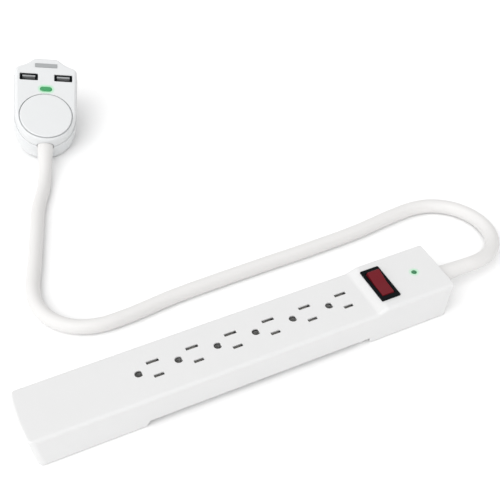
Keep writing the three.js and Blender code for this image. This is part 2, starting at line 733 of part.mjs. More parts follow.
function plugFrontShell() {
  const low = PLUG_PARTING_Z + GAP / 2;
  const blank = softPrism(plugOutline(), 4, PLUG_FACE_Z, 2.4);
  const keep = box([80, 120, 30], [0, PLUG_MIDDLE_Y, low + 15]);
  const cavity = prism(plugOutline(-PLUG_WALL), 0, PLUG_FACE_Z - PLUG_FACE_THICKNESS);
  const bosses = PLUG_SCREWS.map(([x, y]) => cylinder(3.2, 9, [x, y, low + 4.8], 'z', 16));
  const bossHoles = PLUG_SCREWS.map(([x, y]) => cylinder(1.5, 8, [x, y, low + 3], 'z', 12));
  const seatRadius = CAP_RADIUS + CAP_RING_GAP;
  const seat = cylinder(seatRadius, 10, [0, 0, PLUG_FACE_Z - CAP_SEAT_DEPTH + 5], 'z', 40);
  const ports = [-PORT_X, PORT_X].map((x) => box([...PORT_OPENING, 20], [x, PORT_Y, PLUG_FACE_Z]));
  const window = roundedRectangle(10.4, 5, 2.45, 0, INDICATOR_Y);
  const indicator = prism(window, PLUG_FACE_Z - 6, PLUG_FACE_Z + 1);
  const label = box([19.6, 4.5, 0.8], [0, LABEL_Y, PLUG_FACE_Z]);
  const shell = join(cut(common(blank, keep), cavity), ...bosses);
  return cut(shell, ...bossHoles, seat, ...ports, indicator, label, plugReliefHole(), ...gripSlots());
}

function bladeSlots() {
  const thick = BLADE_THICKNESS + 2 * GAP;
  const y = PIN_Y + BLADE_FROM_GROUND;
  return [
    box([thick, NEUTRAL_BLADE_WIDTH + 2 * GAP, 30], [-BLADE_HALF_SPACING, y, 0]),
    box([thick, LIVE_BLADE_WIDTH + 2 * GAP, 30], [BLADE_HALF_SPACING, y, 0]),
    cylinder(PIN_RADIUS + GAP, 30, [0, PIN_Y, 0], 'z', 20),
  ];
}

function plugRearShell() {
  const high = PLUG_PARTING_Z - GAP / 2;
  const blank = softPrism(plugOutline(PLUG_REAR_MARGIN), 0, PLUG_FACE_Z, 2);
  const keep = box([80, 120, high + 5], [0, PLUG_MIDDLE_Y, (high - 5) / 2]);
  const cavity = prism(plugOutline(PLUG_REAR_MARGIN - PLUG_WALL), PLUG_WALL, PLUG_FACE_Z);
  const posts = PLUG_SCREWS.map(([x, y]) => cylinder(3.4, high - 1, [x, y, (high + 1) / 2], 'z', 16));
  const postHoles = PLUG_SCREWS.flatMap(([x, y]) => [
    cylinder(1.9, 60, [x, y, 0], 'z', 12),
    cylinder(2.7, 12, [x, y, 0], 'z', 12),
  ]);
  const shell = join(cut(common(blank, keep), cavity), ...posts);
  return cut(shell, ...postHoles, ...bladeSlots(), plugReliefHole());
}

function blade(width, x) {
  const thin = BLADE_THICKNESS / 2;
  const tip = 0.3;
  const outline = polygon([
    [-thin, BLADE_ROOT_Z], [-thin, -BLADE_LENGTH + 1.5], [-tip, -BLADE_LENGTH],
    [tip, -BLADE_LENGTH], [thin, -BLADE_LENGTH + 1.5], [thin, BLADE_ROOT_Z],
  ]);
  const y = PIN_Y + BLADE_FROM_GROUND;
  return prism(outline, y - width / 2, y + width / 2, 'xz').translate(x, 0, 0);
}

function groundPin() {
  const profile = [
    [0, -PIN_LENGTH], [PIN_RADIUS / 2, -PIN_LENGTH], [PIN_RADIUS, -PIN_LENGTH + 1.6],
    [PIN_RADIUS, BLADE_ROOT_Z], [0, BLADE_ROOT_Z],
  ];
  return turned(profile, [0, PIN_Y, 0], 'z', 20);
}

function bladeHolder() {
  const plate = prism(roundedRectangle(22, 25, 2, 0, 29), PLUG_WALL + GAP, 6.5);
  return cut(plate, ...bladeSlots());
}

function plugRelief() {
  const profile = reliefProfile(8.6, -10.5, -5.5, PLUG_RELIEF_LENGTH - GAP);
  const relief = turned(profile, [0, 0, 0], 'y', 24).rotateX(Math.PI);
  return relief.translate(0, PLUG_BOTTOM_Y - 0.5, PLUG_PARTING_Z);
}

function plugCap() {
  const low = PLUG_FACE_Z - CAP_SEAT_DEPTH + GAP;
  const high = PLUG_FACE_Z + 0.9;
  const profile = [
    [0, low], [CAP_RADIUS, low], [CAP_RADIUS, high - 1], [CAP_RADIUS - 1, high - 0.2],
    [CAP_RADIUS - 5, high], [0, high],
  ];
  return turned(profile, [0, 0, 0], 'z', 48);
}

function labelPlate() {
  return box([19, 3.9, 0.35], [0, LABEL_Y, PLUG_FACE_Z - 0.05]);
}

function indicatorLens() {
  return prism(roundedRectangle(9.8, 4.4, 2.15, 0, INDICATOR_Y), 24, PLUG_FACE_Z + 0.25);
}

function portHousing(x) {
  const [width, height] = PORT_OPENING;
  const outer = box([width - 2 * GAP, height - 2 * GAP, 13], [x, PORT_Y, 22]);
  const inner = box([12.4, 5.2, 12], [x, PORT_Y, 23.5]);
  return cut(outer, inner);
}

function portTongue(x) {
  return box([11.2, 1.6, 10], [x, PORT_Y + 1.45, 22.9]);
}

function chargerBoard() {
  const narrow = 16.5;                // between the screw posts
  const wide = 22.8;                  // under the ports
  const shoulder = 33;
  return prism(polygon([
    [-narrow, -5], [narrow, -5], [narrow, shoulder], [wide, shoulder],
    [wide, 46], [-wide, 46], [-wide, shoulder], [-narrow, shoulder],
  ]), 10, 11.6);
}

function plugScrew(x, y) {
  const profile = [[0, 4.4], [2.3, 4.4], [2.3, 5.6], [1.2, 5.7], [1.2, 20], [0.6, 21.5], [0, 21.5]];
  return turned(profile, [x, y, 0], 'z', 12);
}

function addPlug() {
  const azimuth = THREE.MathUtils.degToRad(PLUG_AZIMUTH_DEG);
  const tilt = THREE.MathUtils.degToRad(PLUG_TILT_DEG);
  const roll = THREE.MathUtils.degToRad(PLUG_ROLL_DEG);
  plug.position.set(...PLUG_POSITION);
  plug.rotation.set(tilt, roll, -azimuth, 'ZXY');
  const add = (name, geometry, material) => place(name, geometry, material, plug);
  const white = plastic(PLUG_WHITE, 0.4);
  const nickel = metal(NICKEL, 0.28);
  add('plug_front_shell', plugFrontShell(), white);
  add('plug_rear_shell', plugRearShell(), white.clone());
  add('plug_round_cap', plugCap(), white.clone());
  add('plug_label_plate', labelPlate(), plastic(GREY, 0.5));
  add('plug_indicator', indicatorLens(), plastic(PALE_GREEN, 0.25));
  [['left', -PORT_X], ['right', PORT_X]].forEach(([side, x]) => {
    add(`usb_port_${side}`, portHousing(x), plastic(BLACK, 0.4));
    add(`usb_tongue_${side}`, portTongue(x), plastic(GREY, 0.45));
  });
  add('neutral_blade', blade(NEUTRAL_BLADE_WIDTH, -BLADE_HALF_SPACING), nickel);
  add('live_blade', blade(LIVE_BLADE_WIDTH, BLADE_HALF_SPACING), nickel.clone());
  add('ground_pin', groundPin(), nickel.clone());
  add('blade_holder', bladeHolder(), plastic(BLACK, 0.5));
  add('charger_board', chargerBoard(), plastic(BOARD_GREEN, 0.5));
  add('charger_transformer', box([13, 11, 10], [-6, 6, 17]), plastic(TAPE_YELLOW, 0.5));
  add('charger_capacitor', cylinder(4, 13, [8, 6, 16], 'y', 16), plastic(BLACK, 0.35));
  PLUG_SCREWS.forEach(([x, y], index) => {
    add(`plug_screw_${index + 1}`, plugScrew(x, y), metal(STEEL, 0.35));
  });
  add('plug_strain_relief', plugRelief(), plastic(CORD_WHITE, 0.55));
}

addHousing();
addBusBars();
addSwitch();
addElectrics();
addLeads();
addCord();
addPlug();

export default strip;
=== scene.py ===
import json
import math

import bmesh
import bpy
from mathutils import Matrix, Vector


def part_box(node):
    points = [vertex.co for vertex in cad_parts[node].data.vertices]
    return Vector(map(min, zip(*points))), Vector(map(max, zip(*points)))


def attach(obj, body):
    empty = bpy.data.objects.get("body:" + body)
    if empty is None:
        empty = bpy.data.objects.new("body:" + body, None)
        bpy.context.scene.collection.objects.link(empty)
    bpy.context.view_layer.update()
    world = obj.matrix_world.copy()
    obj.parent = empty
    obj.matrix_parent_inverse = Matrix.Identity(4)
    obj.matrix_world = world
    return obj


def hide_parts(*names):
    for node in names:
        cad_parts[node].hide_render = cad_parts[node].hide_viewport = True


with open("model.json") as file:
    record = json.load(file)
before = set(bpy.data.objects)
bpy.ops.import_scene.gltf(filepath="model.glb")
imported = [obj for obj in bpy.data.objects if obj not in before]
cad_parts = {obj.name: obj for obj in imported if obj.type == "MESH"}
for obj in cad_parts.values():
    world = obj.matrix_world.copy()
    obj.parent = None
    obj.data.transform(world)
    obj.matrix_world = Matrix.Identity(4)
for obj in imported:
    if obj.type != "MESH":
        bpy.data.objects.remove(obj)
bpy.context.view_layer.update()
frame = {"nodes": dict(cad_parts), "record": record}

MM = 0.001

# ---------------------------------------------------------------- sizes, in millimetres

# strip housing, from the frame's own box of the shell
HOUSING_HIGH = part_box("top_housing")[1]
HALF_LENGTH = HOUSING_HIGH[0] / MM
HALF_WIDTH = HOUSING_HIGH[1] / MM
RAISED_Z = HOUSING_HIGH[2] / MM
TOP_Z = 25.7
STEP_START_X, STEP_END_X = 93.6, 101.1
FOOT_LIFT = 4.2
LEFT_FOOT_END_X, LEFT_FOOT_SLOPE = -79.4, 3.0
RIGHT_FOOT_START_X = 88.1
LEFT_DRAFT, RIGHT_DRAFT = 2.6, 4.9
END_BOW = 1.6
WALL, OUTLET_WALL = 2.2, 1.2
RIM_Z = 0.3
CORNER_RADIUS, EDGE_RADIUS = 4.5, 2.4

OUTLET_COUNT = 6
OUTLET_PITCH = 28.21
FIRST_GROUND_X = -73.9
BLADE_FROM_GROUND = 11.9
BLADE_HALF_SPACING = 6.35
NEUTRAL_SLOT_LENGTH, LIVE_SLOT_LENGTH, SLOT_WIDTH = 8.8, 7.0, 2.6
GROUND_HOLE_RADIUS = 2.9

BUS_Z, BUS_THICKNESS, BUS_WIDTH = 8.0, 0.8, 4.0
BUS_LEFT_X, BUS_RIGHT_X = FIRST_GROUND_X - 5, 89.6
CONTACT_TOP_Z = 23.2

SWITCH_X, SWITCH_Y = 107.85, 0.25
BEZEL_WIDTH, BEZEL_LENGTH, BEZEL_HEIGHT = 15.0, 32.0, 1.2
ROCKER_WIDTH, ROCKER_RADIUS, ROCKER_PIVOT_Z, ROCKER_REST_DEG = 9.4, 12.0, 26.5, 9.0
LAMP_X, LAMP_RADIUS = 135.9, 1.7
COVER_SCREW_X, COVER_SCREW_Y = (-144.0, 5.6, 144.0), 16.5

# cord end: jacket, strain reliefs and their holes
CORD_DIAMETER = 11.0
CORD_EXIT_Z = 16.0
RELIEF_RADIUS, RELIEF_TIP_RADIUS, RELIEF_HOLE_RADIUS = 6.7, 5.66, 7.1
RELIEF_LENGTH, RELIEF_DEPTH = 22.0, 9.5

# plug, in its own frame: X across, Y towards the ports, Z out of the face, back at Z = 0
PLUG_THICKNESS, PLUG_PARTING_Z = 29.0, 16.9
PLUG_CROWN_Y, PLUG_BOTTOM_Y, PLUG_HALF_WIDTH = 61.7, -24.5, 27.0
PLUG_REAR_MARGIN, PLUG_WALL, PLUG_FACE_THICKNESS = 0.8, 2.2, 3.4
CAP_RADIUS, CAP_RING_GAP, CAP_SEAT_DEPTH = 22.0, 0.85, 1.9
PORT_X, PORT_Y, PORT_OPENING = 14.8, 40.5, (15.6, 7.2)
INDICATOR_Y, LABEL_Y = 27.8, 52.9
PIN_Y, PIN_LENGTH, PIN_RADIUS = 21.0, 18.4, 2.38
BLADE_LENGTH, BLADE_THICKNESS, BLADE_ROOT_Z = 17.0, 1.5, 8.5
NEUTRAL_BLADE_WIDTH, LIVE_BLADE_WIDTH = 7.9, 6.4
PLUG_RELIEF_LENGTH = 20.0
PLUG_SCREWS = ((-21.0, 26.0), (21.0, 26.0), (-17.5, -9.0), (17.5, -9.0))

PLUG_AZIMUTH_DEG, PLUG_TILT_DEG, PLUG_ROLL_DEG = 20.0, 20.8, 12.0
PLUG_POSITION = (-50.7, 308.3, 9.85)
PLUG_MATRIX = (
    Matrix.Translation(PLUG_POSITION)
    @ Matrix.Rotation(math.radians(-PLUG_AZIMUTH_DEG), 4, "Z")
    @ Matrix.Rotation(math.radians(PLUG_TILT_DEG), 4, "X")
    @ Matrix.Rotation(math.radians(PLUG_ROLL_DEG), 4, "Y")
)

# middle line of the free cord: the route's listed points, as in the CAD part
CORD_ROUTE = [
    (178, 0, 16), (186.2, 0.1, 15.7), (195.5, 1.6, 14.3), (206.3, 6.2, 12.3), (215.5, 13.4, 10.3),
    (222.2, 22.9, 8.6), (226, 33.9, 7.2), (226.6, 45.5, 6.3), (224.2, 56, 5.8), (218.6, 66.2, 5.6),
    (210.3, 74.4, 5.6), (200, 79.9, 5.6), (187.5, 82.4, 5.6), (167.7, 81.5, 5.6), (134, 77.8, 5.6),
    (97, 76.5, 5.6), (56, 76.3, 5.6), (15, 75.9, 5.6), (-21, 74.8, 5.6), (-56.9, 71.3, 5.6),
    (-76.7, 71.3, 5.6), (-89, 74.5, 5.6), (-99.1, 80.4, 5.6), (-107, 89, 5.6), (-112.2, 99.5, 5.6),
    (-114.4, 112, 5.6), (-113, 126.7, 5.6), (-104.9, 151.3, 5.6), (-93.3, 186.4, 5.6),
    (-83.2, 216.3, 5.6), (-70.7, 243, 5.6), (-69, 247.9, 5.84), (-67.2, 252.7, 6.54),
    (-65.5, 257.4, 7.7), (-63.8, 262.1, 9.32),
]

# ---------------------------------------------------------------- studio light

KEY_PLACE, KEY_TARGET, KEY_SIZE, KEY_POWER = (-2.4, -2.2, 4.4), (0, 0.1, 0), 5.5, 150.0
LIGHT_FROM_LEFT, LIGHT_FROM_RIGHT = 1.22, 0.58
FLOOR_DARK, FLOOR_LIGHT = (0.935, 0.935, 0.935), (0.945, 0.945, 0.945)

# ---------------------------------------------------------------- camera


def add_camera():
    """Stands where the photograph was taken from: high, in front of the strip's blank end."""
    camera = bpy.data.cameras.new("camera")
    camera.sensor_width = 36.0
    camera.lens = 69.96
    camera.clip_start = 0.01
    right = Vector((0.90623, -0.42231, -0.01976))
    up = Vector((0.30001, 0.60946, 0.73386))
    back = Vector((-0.29788, -0.67097, 0.67902))
    holder = bpy.data.objects.new("camera", camera)
    rotation = Matrix((right, up, back)).transposed()
    holder.matrix_world = Matrix.Translation((-0.17284, -0.40727, 0.51457)) @ rotation.to_4x4()
    bpy.context.scene.collection.objects.link(holder)
    bpy.context.scene.camera = holder


# ---------------------------------------------------------------- mesh helpers


def link_mesh(name, bm):
    """Turns a bmesh drawn in millimetres into a linked object in metres."""
    bmesh.ops.remove_doubles(bm, verts=bm.verts, dist=1e-5)
    bmesh.ops.recalc_face_normals(bm, faces=bm.faces)
    mesh = bpy.data.meshes.new(name)
    bm.to_mesh(mesh)
    bm.free()
    mesh.transform(Matrix.Scale(MM, 4))
    obj = bpy.data.objects.new(name, mesh)
    bpy.context.scene.collection.objects.link(obj)
    return obj


def apply_modifier(obj, kind, **settings):
    modifier = obj.modifiers.new(kind, kind)
    for key, value in settings.items():
        setattr(modifier, key, value)
    bpy.context.view_layer.objects.active = obj
    bpy.ops.object.modifier_apply(modifier=modifier.name)


def carve(obj, *cutters):
    """Cuts each cutter out of the object and deletes it."""
    for cutter in cutters:
        apply_modifier(obj, "BOOLEAN", object=cutter, operation="DIFFERENCE", solver="EXACT")
        bpy.data.objects.remove(cutter)
    return obj


def unite(obj, *others):
    for other in others:
        apply_modifier(obj, "BOOLEAN", object=other, operation="UNION", solver="EXACT")
        bpy.data.objects.remove(other)
    return obj


def soften(obj, width, segments=2, angle=35):
    """Rounds every edge sharper than the angle."""
    apply_modifier(
        obj, "BEVEL", width=width * MM, segments=segments, limit_method="ANGLE",
        angle_limit=math.radians(angle), use_clamp_overlap=True, harden_normals=False,
    )
    return obj


def finish_normals(obj, angle=32):
    mesh = obj.data
    mesh.shade_smooth()
    mesh.set_sharp_from_angle(angle=math.radians(angle))
    apply_modifier(obj, "WEIGHTED_NORMAL", keep_sharp=True, weight=80)
    return obj


def prism(name, outline, low, high, plane="xy"):
    """Pushes a closed outline from low to high along the axis that its plane leaves free."""
    bm = bmesh.new()
    axes = {"xy": (0, 1, 2), "xz": (0, 2, 1), "yz": (1, 2, 0)}[plane]
    rings = []
    for level in (low, high):
        ring = []
        for a, b in outline:
            point = [0.0, 0.0, 0.0]
            point[axes[0]], point[axes[1]], point[axes[2]] = a, b, level
            ring.append(bm.verts.new(point))
        rings.append(ring)
    for index in range(len(outline)):
        following = (index + 1) % len(outline)
        bm.faces.new((rings[0][index], rings[0][following], rings[1][following], rings[1][index]))
    bm.faces.new(rings[0])
    bm.faces.new(rings[1])
    return link_mesh(name, bm)


def loft(name, rings, cap=True):
    """Skins closed rings of equal length, each a list of points, one after the other."""
    bm = bmesh.new()
    rows = [[bm.verts.new(point) for point in ring] for ring in rings]
    for lower, upper in zip(rows, rows[1:]):
        for index in range(len(lower)):
            following = (index + 1) % len(lower)
            bm.faces.new((lower[index], lower[following], upper[following], upper[index]))
    if cap:
        bm.faces.new(rows[0])
        bm.faces.new(rows[-1])
    return link_mesh(name, bm)


def turned(name, profile, sides=64):
    """Turns a profile of (radius, height) pairs about Z; a radius of 0 closes an end."""
    bm = bmesh.new()
    rows = []
    for radius, height in profile:
        if radius == 0:
            rows.append([bm.verts.new((0, 0, height))])
            continue
        angles = [2 * math.pi * side / sides for side in range(sides)]
        rows.append([bm.verts.new((radius * math.cos(a), radius * math.sin(a), height)) for a in angles])
    for lower, upper in zip(rows, rows[1:]):
        for side in range(sides):
            following = (side + 1) % sides
            corners = [
                lower[side % len(lower)], lower[following % len(lower)],
                upper[following % len(upper)], upper[side % len(upper)],
            ]
            bm.faces.new(list(dict.fromkeys(corners)))
    return link_mesh(name, bm)


def rod(radius, low, high, sides=64):
    """A plain round bar about Z."""
    return turned("rod", [(0, low), (radius, low), (radius, high), (0, high)], sides)


def disc_outline(radius, centre, steps=8):
    return rectangle(2 * radius, 2 * radius, radius - 0.01, centre, steps)


def rounded_profile(points, radius, steps=5):
    """Rounds the inner corners of a (radius, height) profile with small arcs."""
    result = [points[0]]
    for before, corner, after in zip(points, points[1:], points[2:]):
        corner_v = Vector(corner)
        to_before = Vector(before) - corner_v
        to_after = Vector(after) - corner_v
        reach = min(radius, to_before.length * 0.45, to_after.length * 0.45)
        start = corner_v + to_before.normalized() * reach
        end = corner_v + to_after.normalized() * reach
        for step in range(steps + 1):
            t = step / steps
            point = start * (1 - t) ** 2 + corner_v * 2 * t * (1 - t) + end * t ** 2
            result.append((max(point.x, 0.0), point.y))
    result.append(points[-1])
    return result


def rectangle(width, height, radius, centre=(0.0, 0.0), steps=6):
    """Outline of a rectangle with round corners."""
    points = []
    corners = (
        (width / 2 - radius, -height / 2 + radius, -90), (width / 2 - radius, height / 2 - radius, 0),
        (-width / 2 + radius, height / 2 - radius, 90), (-width / 2 + radius, -height / 2 + radius, 180),
    )
    for x, y, start in corners:
        for step in range(steps + 1):
            angle = math.radians(start + 90 * step / steps)
            points.append((
                centre[0] + x + radius * math.cos(angle), centre[1] + y + radius * math.sin(angle),
            ))
    return points


def inset(outline, distance):
    """Moves a counter-clockwise outline inwards along its own normals."""
    result = []
    for index, point in enumerate(outline):
        before = Vector(outline[index - 1])
        after = Vector(outline[(index + 1) % len(outline)])
        here = Vector(point)
        first = (here - before).normalized()
        second = (after - here).normalized()
        normal = Vector((-(first.y + second.y), first.x + second.x)).normalized()
        stretch = max(0.5, normal.dot(Vector((-second.y, second.x))))
        result.append(tuple(here + normal * distance / stretch))
    return result


def slot_cutter(name, outline, surface, depth=6.0, lip=0.3):
    """A cutter whose mouth flares at the surface, which leaves a small chamfer there."""
    flared = inset(outline, -lip)
    levels = (
        (surface - depth, outline), (surface - lip, outline),
        (surface + 0.05, flared), (surface + 2, flared),
    )
    rings = [[(x, y, z) for x, y in ring] for z, ring in levels]
    return loft(name, rings)


def transform(obj, matrix):
    """Moves the mesh itself, so that the object stays at the origin; the matrix is in millimetres."""
    scale = Matrix.Scale(MM, 4)
    obj.data.transform(scale @ matrix @ scale.inverted())
    return obj


# ---------------------------------------------------------------- materials


def new_material(name):
    material = bpy.data.materials.new(name)
    material.use_nodes = True
    nodes = material.node_tree.nodes
    return material, nodes, material.node_tree.links, nodes["Principled BSDF"]


def noise(nodes, links, scale, detail=3.0, stretch=None):
    coordinates = nodes.new("ShaderNodeTexCoord")
    texture = nodes.new("ShaderNodeTexNoise")
    texture.inputs["Scale"].default_value = scale
    texture.inputs["Detail"].default_value = detail
    source = coordinates.outputs["Object"]
    if stretch is not None:
        mapping = nodes.new("ShaderNodeMapping")
        mapping.inputs["Scale"].default_value = stretch
        links.new(source, mapping.inputs["Vector"])
        source = mapping.outputs["Vector"]
    links.new(source, texture.inputs["Vector"])
    return texture.outputs["Fac"]


def spread(nodes, links, value, low, high):
    """Maps a noise value from its usual middle range to low..high."""
    ramp = nodes.new("ShaderNodeMapRange")
    ramp.inputs["From Min"].default_value = 0.3
    ramp.inputs["From Max"].default_value = 0.7
    ramp.inputs["To Min"].default_value = low
    ramp.inputs["To Max"].default_value = high
    links.new(value, ramp.inputs["Value"])
    return ramp.outputs["Result"]


def tint(nodes, links, value, dark, light):
    mix = nodes.new("ShaderNodeMix")
    mix.data_type = "RGBA"
    mix.inputs["A"].default_value = (*dark, 1)
    mix.inputs["B"].default_value = (*light, 1)
    links.new(value, mix.inputs["Factor"])
    return mix.outputs["Result"]


def bump(nodes, links, value, distance, strength=1.0):
    node = nodes.new("ShaderNodeBump")
    node.inputs["Distance"].default_value = distance
    node.inputs["Strength"].default_value = strength
    links.new(value, node.inputs["Height"])
    return node.outputs["Normal"]


def moulded(name, colour, roughness, grain=900.0, depth=0.00002, vary=0.02, specular=0.5, coat=0.0,
            scatter=0.0):
    """Moulded plastic: fine mould grain, faint clouding of colour and of gloss."""
    material, nodes, links, shader = new_material(name)
    dark = tuple(channel * (1 - vary) for channel in colour)
    light = tuple(min(1.0, channel * (1 + vary)) for channel in colour)
    cloud = noise(nodes, links, 35.0, 4.0)
    links.new(tint(nodes, links, cloud, dark, light), shader.inputs["Base Color"])
    patches = noise(nodes, links, 60.0, 5.0)
    gloss = spread(nodes, links, patches, roughness * 0.9, roughness * 1.12)
    links.new(gloss, shader.inputs["Roughness"])
    fine = noise(nodes, links, grain, 2.0)
    links.new(bump(nodes, links, fine, depth, 0.5), shader.inputs["Normal"])
    shader.inputs["Specular IOR Level"].default_value = specular
    shader.inputs["Coat Weight"].default_value = coat
    shader.inputs["Coat Roughness"].default_value = 0.12
    if scatter:
        shader.inputs["Subsurface Weight"].default_value = scatter
        shader.inputs["Subsurface Radius"].default_value = (1.0, 1.0, 1.0)
        shader.inputs["Subsurface Scale"].default_value = 0.0015
    return material


def painted_lamp_glow(material, colour, centre, inner, outer, strength):
    """Paints a glow of the lamp's light into the base colour of the plastic next to a lamp, fading out
    from the inner to the outer radius.
    """
    nodes, links = material.node_tree.nodes, material.node_tree.links
    shader = nodes["Principled BSDF"]
    coordinates = nodes.new("ShaderNodeTexCoord")
    distance = nodes.new("ShaderNodeVectorMath")
    distance.operation = "DISTANCE"
    distance.inputs[1].default_value = tuple(value * MM for value in centre)
    links.new(coordinates.outputs["Object"], distance.inputs[0])
    fade = nodes.new("ShaderNodeMapRange")
    fade.interpolation_type = "SMOOTHSTEP"
    fade.inputs["From Min"].default_value = inner * MM
    fade.inputs["From Max"].default_value = outer * MM
    fade.inputs["To Min"].default_value = strength
    fade.inputs["To Max"].default_value = 0.0
    links.new(distance.outputs["Value"], fade.inputs["Value"])
    # painted light: the lamp's glow colour mixed into the plastic's base colour
    mix = nodes.new("ShaderNodeMix")
    mix.data_type = "RGBA"
    mix.inputs["B"].default_value = (*colour, 1)
    base = shader.inputs["Base Color"]
    links.new(base.links[0].from_socket, mix.inputs["A"])
    links.new(fade.outputs["Result"], mix.inputs["Factor"])
    links.new(mix.outputs["Result"], base)
    return material


def vinyl(name, colour):
    """Soft cord jacket: matte, with faint lengthwise unevenness and a low sheen."""
    material, nodes, links, shader = new_material(name)
    cloud = noise(nodes, links, 50.0, 4.0)
    dark = tuple(channel * 0.965 for channel in colour)
    links.new(tint(nodes, links, cloud, dark, colour), shader.inputs["Base Color"])
    patches = noise(nodes, links, 90.0, 4.0)
    links.new(spread(nodes, links, patches, 0.42, 0.56), shader.inputs["Roughness"])
    fine = noise(nodes, links, 1400.0, 3.0)
    links.new(bump(nodes, links, fine, 0.00003, 0.45), shader.inputs["Normal"])
    shader.inputs["Sheen Weight"].default_value = 0.06
    shader.inputs["Sheen Roughness"].default_value = 0.5
    return material


def stamped_metal(name, colour, roughness, stretch):
    """Stamped or plated metal with fine rolling lines and slight tarnish."""
    material, nodes, links, shader = new_material(name)
    cloud = noise(nodes, links, 120.0, 5.0)
    dark = tuple(channel * 0.82 for channel in colour)
    links.new(tint(nodes, links, cloud, dark, colour), shader.inputs["Base Color"])
    shader.inputs["Metallic"].default_value = 1.0
    lines = noise(nodes, links, 900.0, 2.0, stretch)
    links.new(spread(nodes, links, lines, roughness * 0.75, roughness * 1.3), shader.inputs["Roughness"])
    links.new(bump(nodes, links, lines, 0.00001, 0.4), shader.inputs["Normal"])
    return material


def lens(name, colour, glow, strength):
    """Tinted lens lit from behind: clear gloss over a cloudy, glowing body."""
    material, nodes, links, shader = new_material(name)
    cloud = noise(nodes, links, 400.0, 3.0)
    dark = tuple(channel * 0.8 for channel in colour)
    links.new(tint(nodes, links, cloud, dark, colour), shader.inputs["Base Color"])
    shader.inputs["Roughness"].default_value = 0.12
    shader.inputs["Transmission Weight"].default_value = 0.25
    shader.inputs["Coat Weight"].default_value = 0.6
    shader.inputs["Coat Roughness"].default_value = 0.05
    bright = tuple(min(1.0, channel * 1.2) for channel in glow)
    links.new(tint(nodes, links, cloud, glow, bright), shader.inputs["Emission Color"])
    shader.inputs["Emission Strength"].default_value = strength
    return material


def circuit_board(name):
    """Green solder mask with faint copper tracks showing through."""
    material, nodes, links, shader = new_material(name)
    coordinates = nodes.new("ShaderNodeTexCoord")
    tracks = nodes.new("ShaderNodeTexBrick")
    tracks.inputs["Scale"].default_value = 220.0
    tracks.inputs["Mortar Size"].default_value = 0.08
    tracks.inputs["Color1"].default_value = (0.015, 0.13, 0.045, 1)
    tracks.inputs["Color2"].default_value = (0.02, 0.16, 0.06, 1)
    tracks.inputs["Mortar"].default_value = (0.07, 0.26, 0.09, 1)
    links.new(coordinates.outputs["Object"], tracks.inputs["Vector"])
    links.new(tracks.outputs["Color"], shader.inputs["Base Color"])
    links.new(bump(nodes, links, tracks.outputs["Fac"], 0.00002, 0.5), shader.inputs["Normal"])
    shader.inputs["Roughness"].default_value = 0.35
    return material


def make_materials():
    # painted light: a pale green glow painted into the white plastics' colour round the strip's lamp and
    # the plug's indicator
    painted_glow_colour = (0.36, 0.74, 0.46)
    white = moulded("white_plastic", (0.69, 0.69, 0.69), 0.42, vary=0.012, scatter=0.12)
    painted_lamp_glow(white, painted_glow_colour, (LAMP_X, 0, RAISED_Z), LAMP_RADIUS, 2.8 * LAMP_RADIUS, 0.8)
    plug_white = moulded("plug_plastic", (0.695, 0.705, 0.71), 0.38, vary=0.012, scatter=0.12)
    # painted glow round the plug's indicator, as three overlapping spots along it
    for x in (-2.8, 0, 2.8):
        centre = PLUG_MATRIX @ Vector((x, INDICATOR_Y, PLUG_THICKNESS))
        painted_lamp_glow(plug_white, painted_glow_colour, centre, 2.5, 5.5, 0.75)
    return {
        "white_plastic": white,
        "plug_plastic": plug_white,
        "cord_jacket": vinyl("cord_jacket", (0.715, 0.706, 0.697)),
        "black_plastic": moulded(
            "black_plastic", (0.003, 0.0045, 0.0055), 0.42, vary=0.15, specular=0.06,
        ),
        "red_plastic": moulded("red_plastic", (0.140, 0.009, 0.015), 0.34, vary=0.08, specular=0.16),
        "green_lens": lens("green_lens", (0.010, 0.14, 0.05), (0.02, 0.34, 0.11), 0.2),
        "indicator_lens": lens("indicator_lens", (0.025, 0.21, 0.075), (0.03, 0.36, 0.11), 0.4),
        "grey_plastic": moulded("grey_plastic", (0.34, 0.35, 0.355), 0.45, vary=0.03),
        "green_insulation": moulded("green_insulation", (0.02, 0.19, 0.06), 0.45, vary=0.05),
        "circuit_board": circuit_board("circuit_board"),
        "blue_coating": moulded(
            "blue_coating", (0.02, 0.09, 0.30), 0.22, grain=300.0, vary=0.06, coat=0.5,
        ),
        "yellow_tape": moulded("yellow_tape", (0.60, 0.42, 0.06), 0.3, grain=200.0, vary=0.05),
        "brass": stamped_metal("brass", (0.70, 0.52, 0.23), 0.3, (1, 12, 1)),
        "tinned_brass": stamped_metal("tinned_brass", (0.86, 0.85, 0.82), 0.55, (1, 12, 1)),
        "dull_tin": stamped_metal("dull_tin", (0.50, 0.50, 0.49), 0.6, (1, 12, 1)),
        "nickel": stamped_metal("nickel", (0.74, 0.73, 0.70), 0.24, (7, 7, 1)),
        "steel": stamped_metal("steel", (0.55, 0.55, 0.56), 0.34, (8, 1, 1)),
    }


def dress(obj, material):
    obj.data.materials.clear()
    obj.data.materials.append(material)


def add_piece(obj, node, body="strip", finish=None):
    """Finishes a new piece that stands for a CAD node: gives it the material of the node's slot, puts it
    in its body and hides the CAD node.
    """
    slot = SLOT_OF[node]
    dress(obj, MATERIALS[finish or slot])
    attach(obj, body)
    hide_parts(node)
    return obj


# ---------------------------------------------------------------- cord


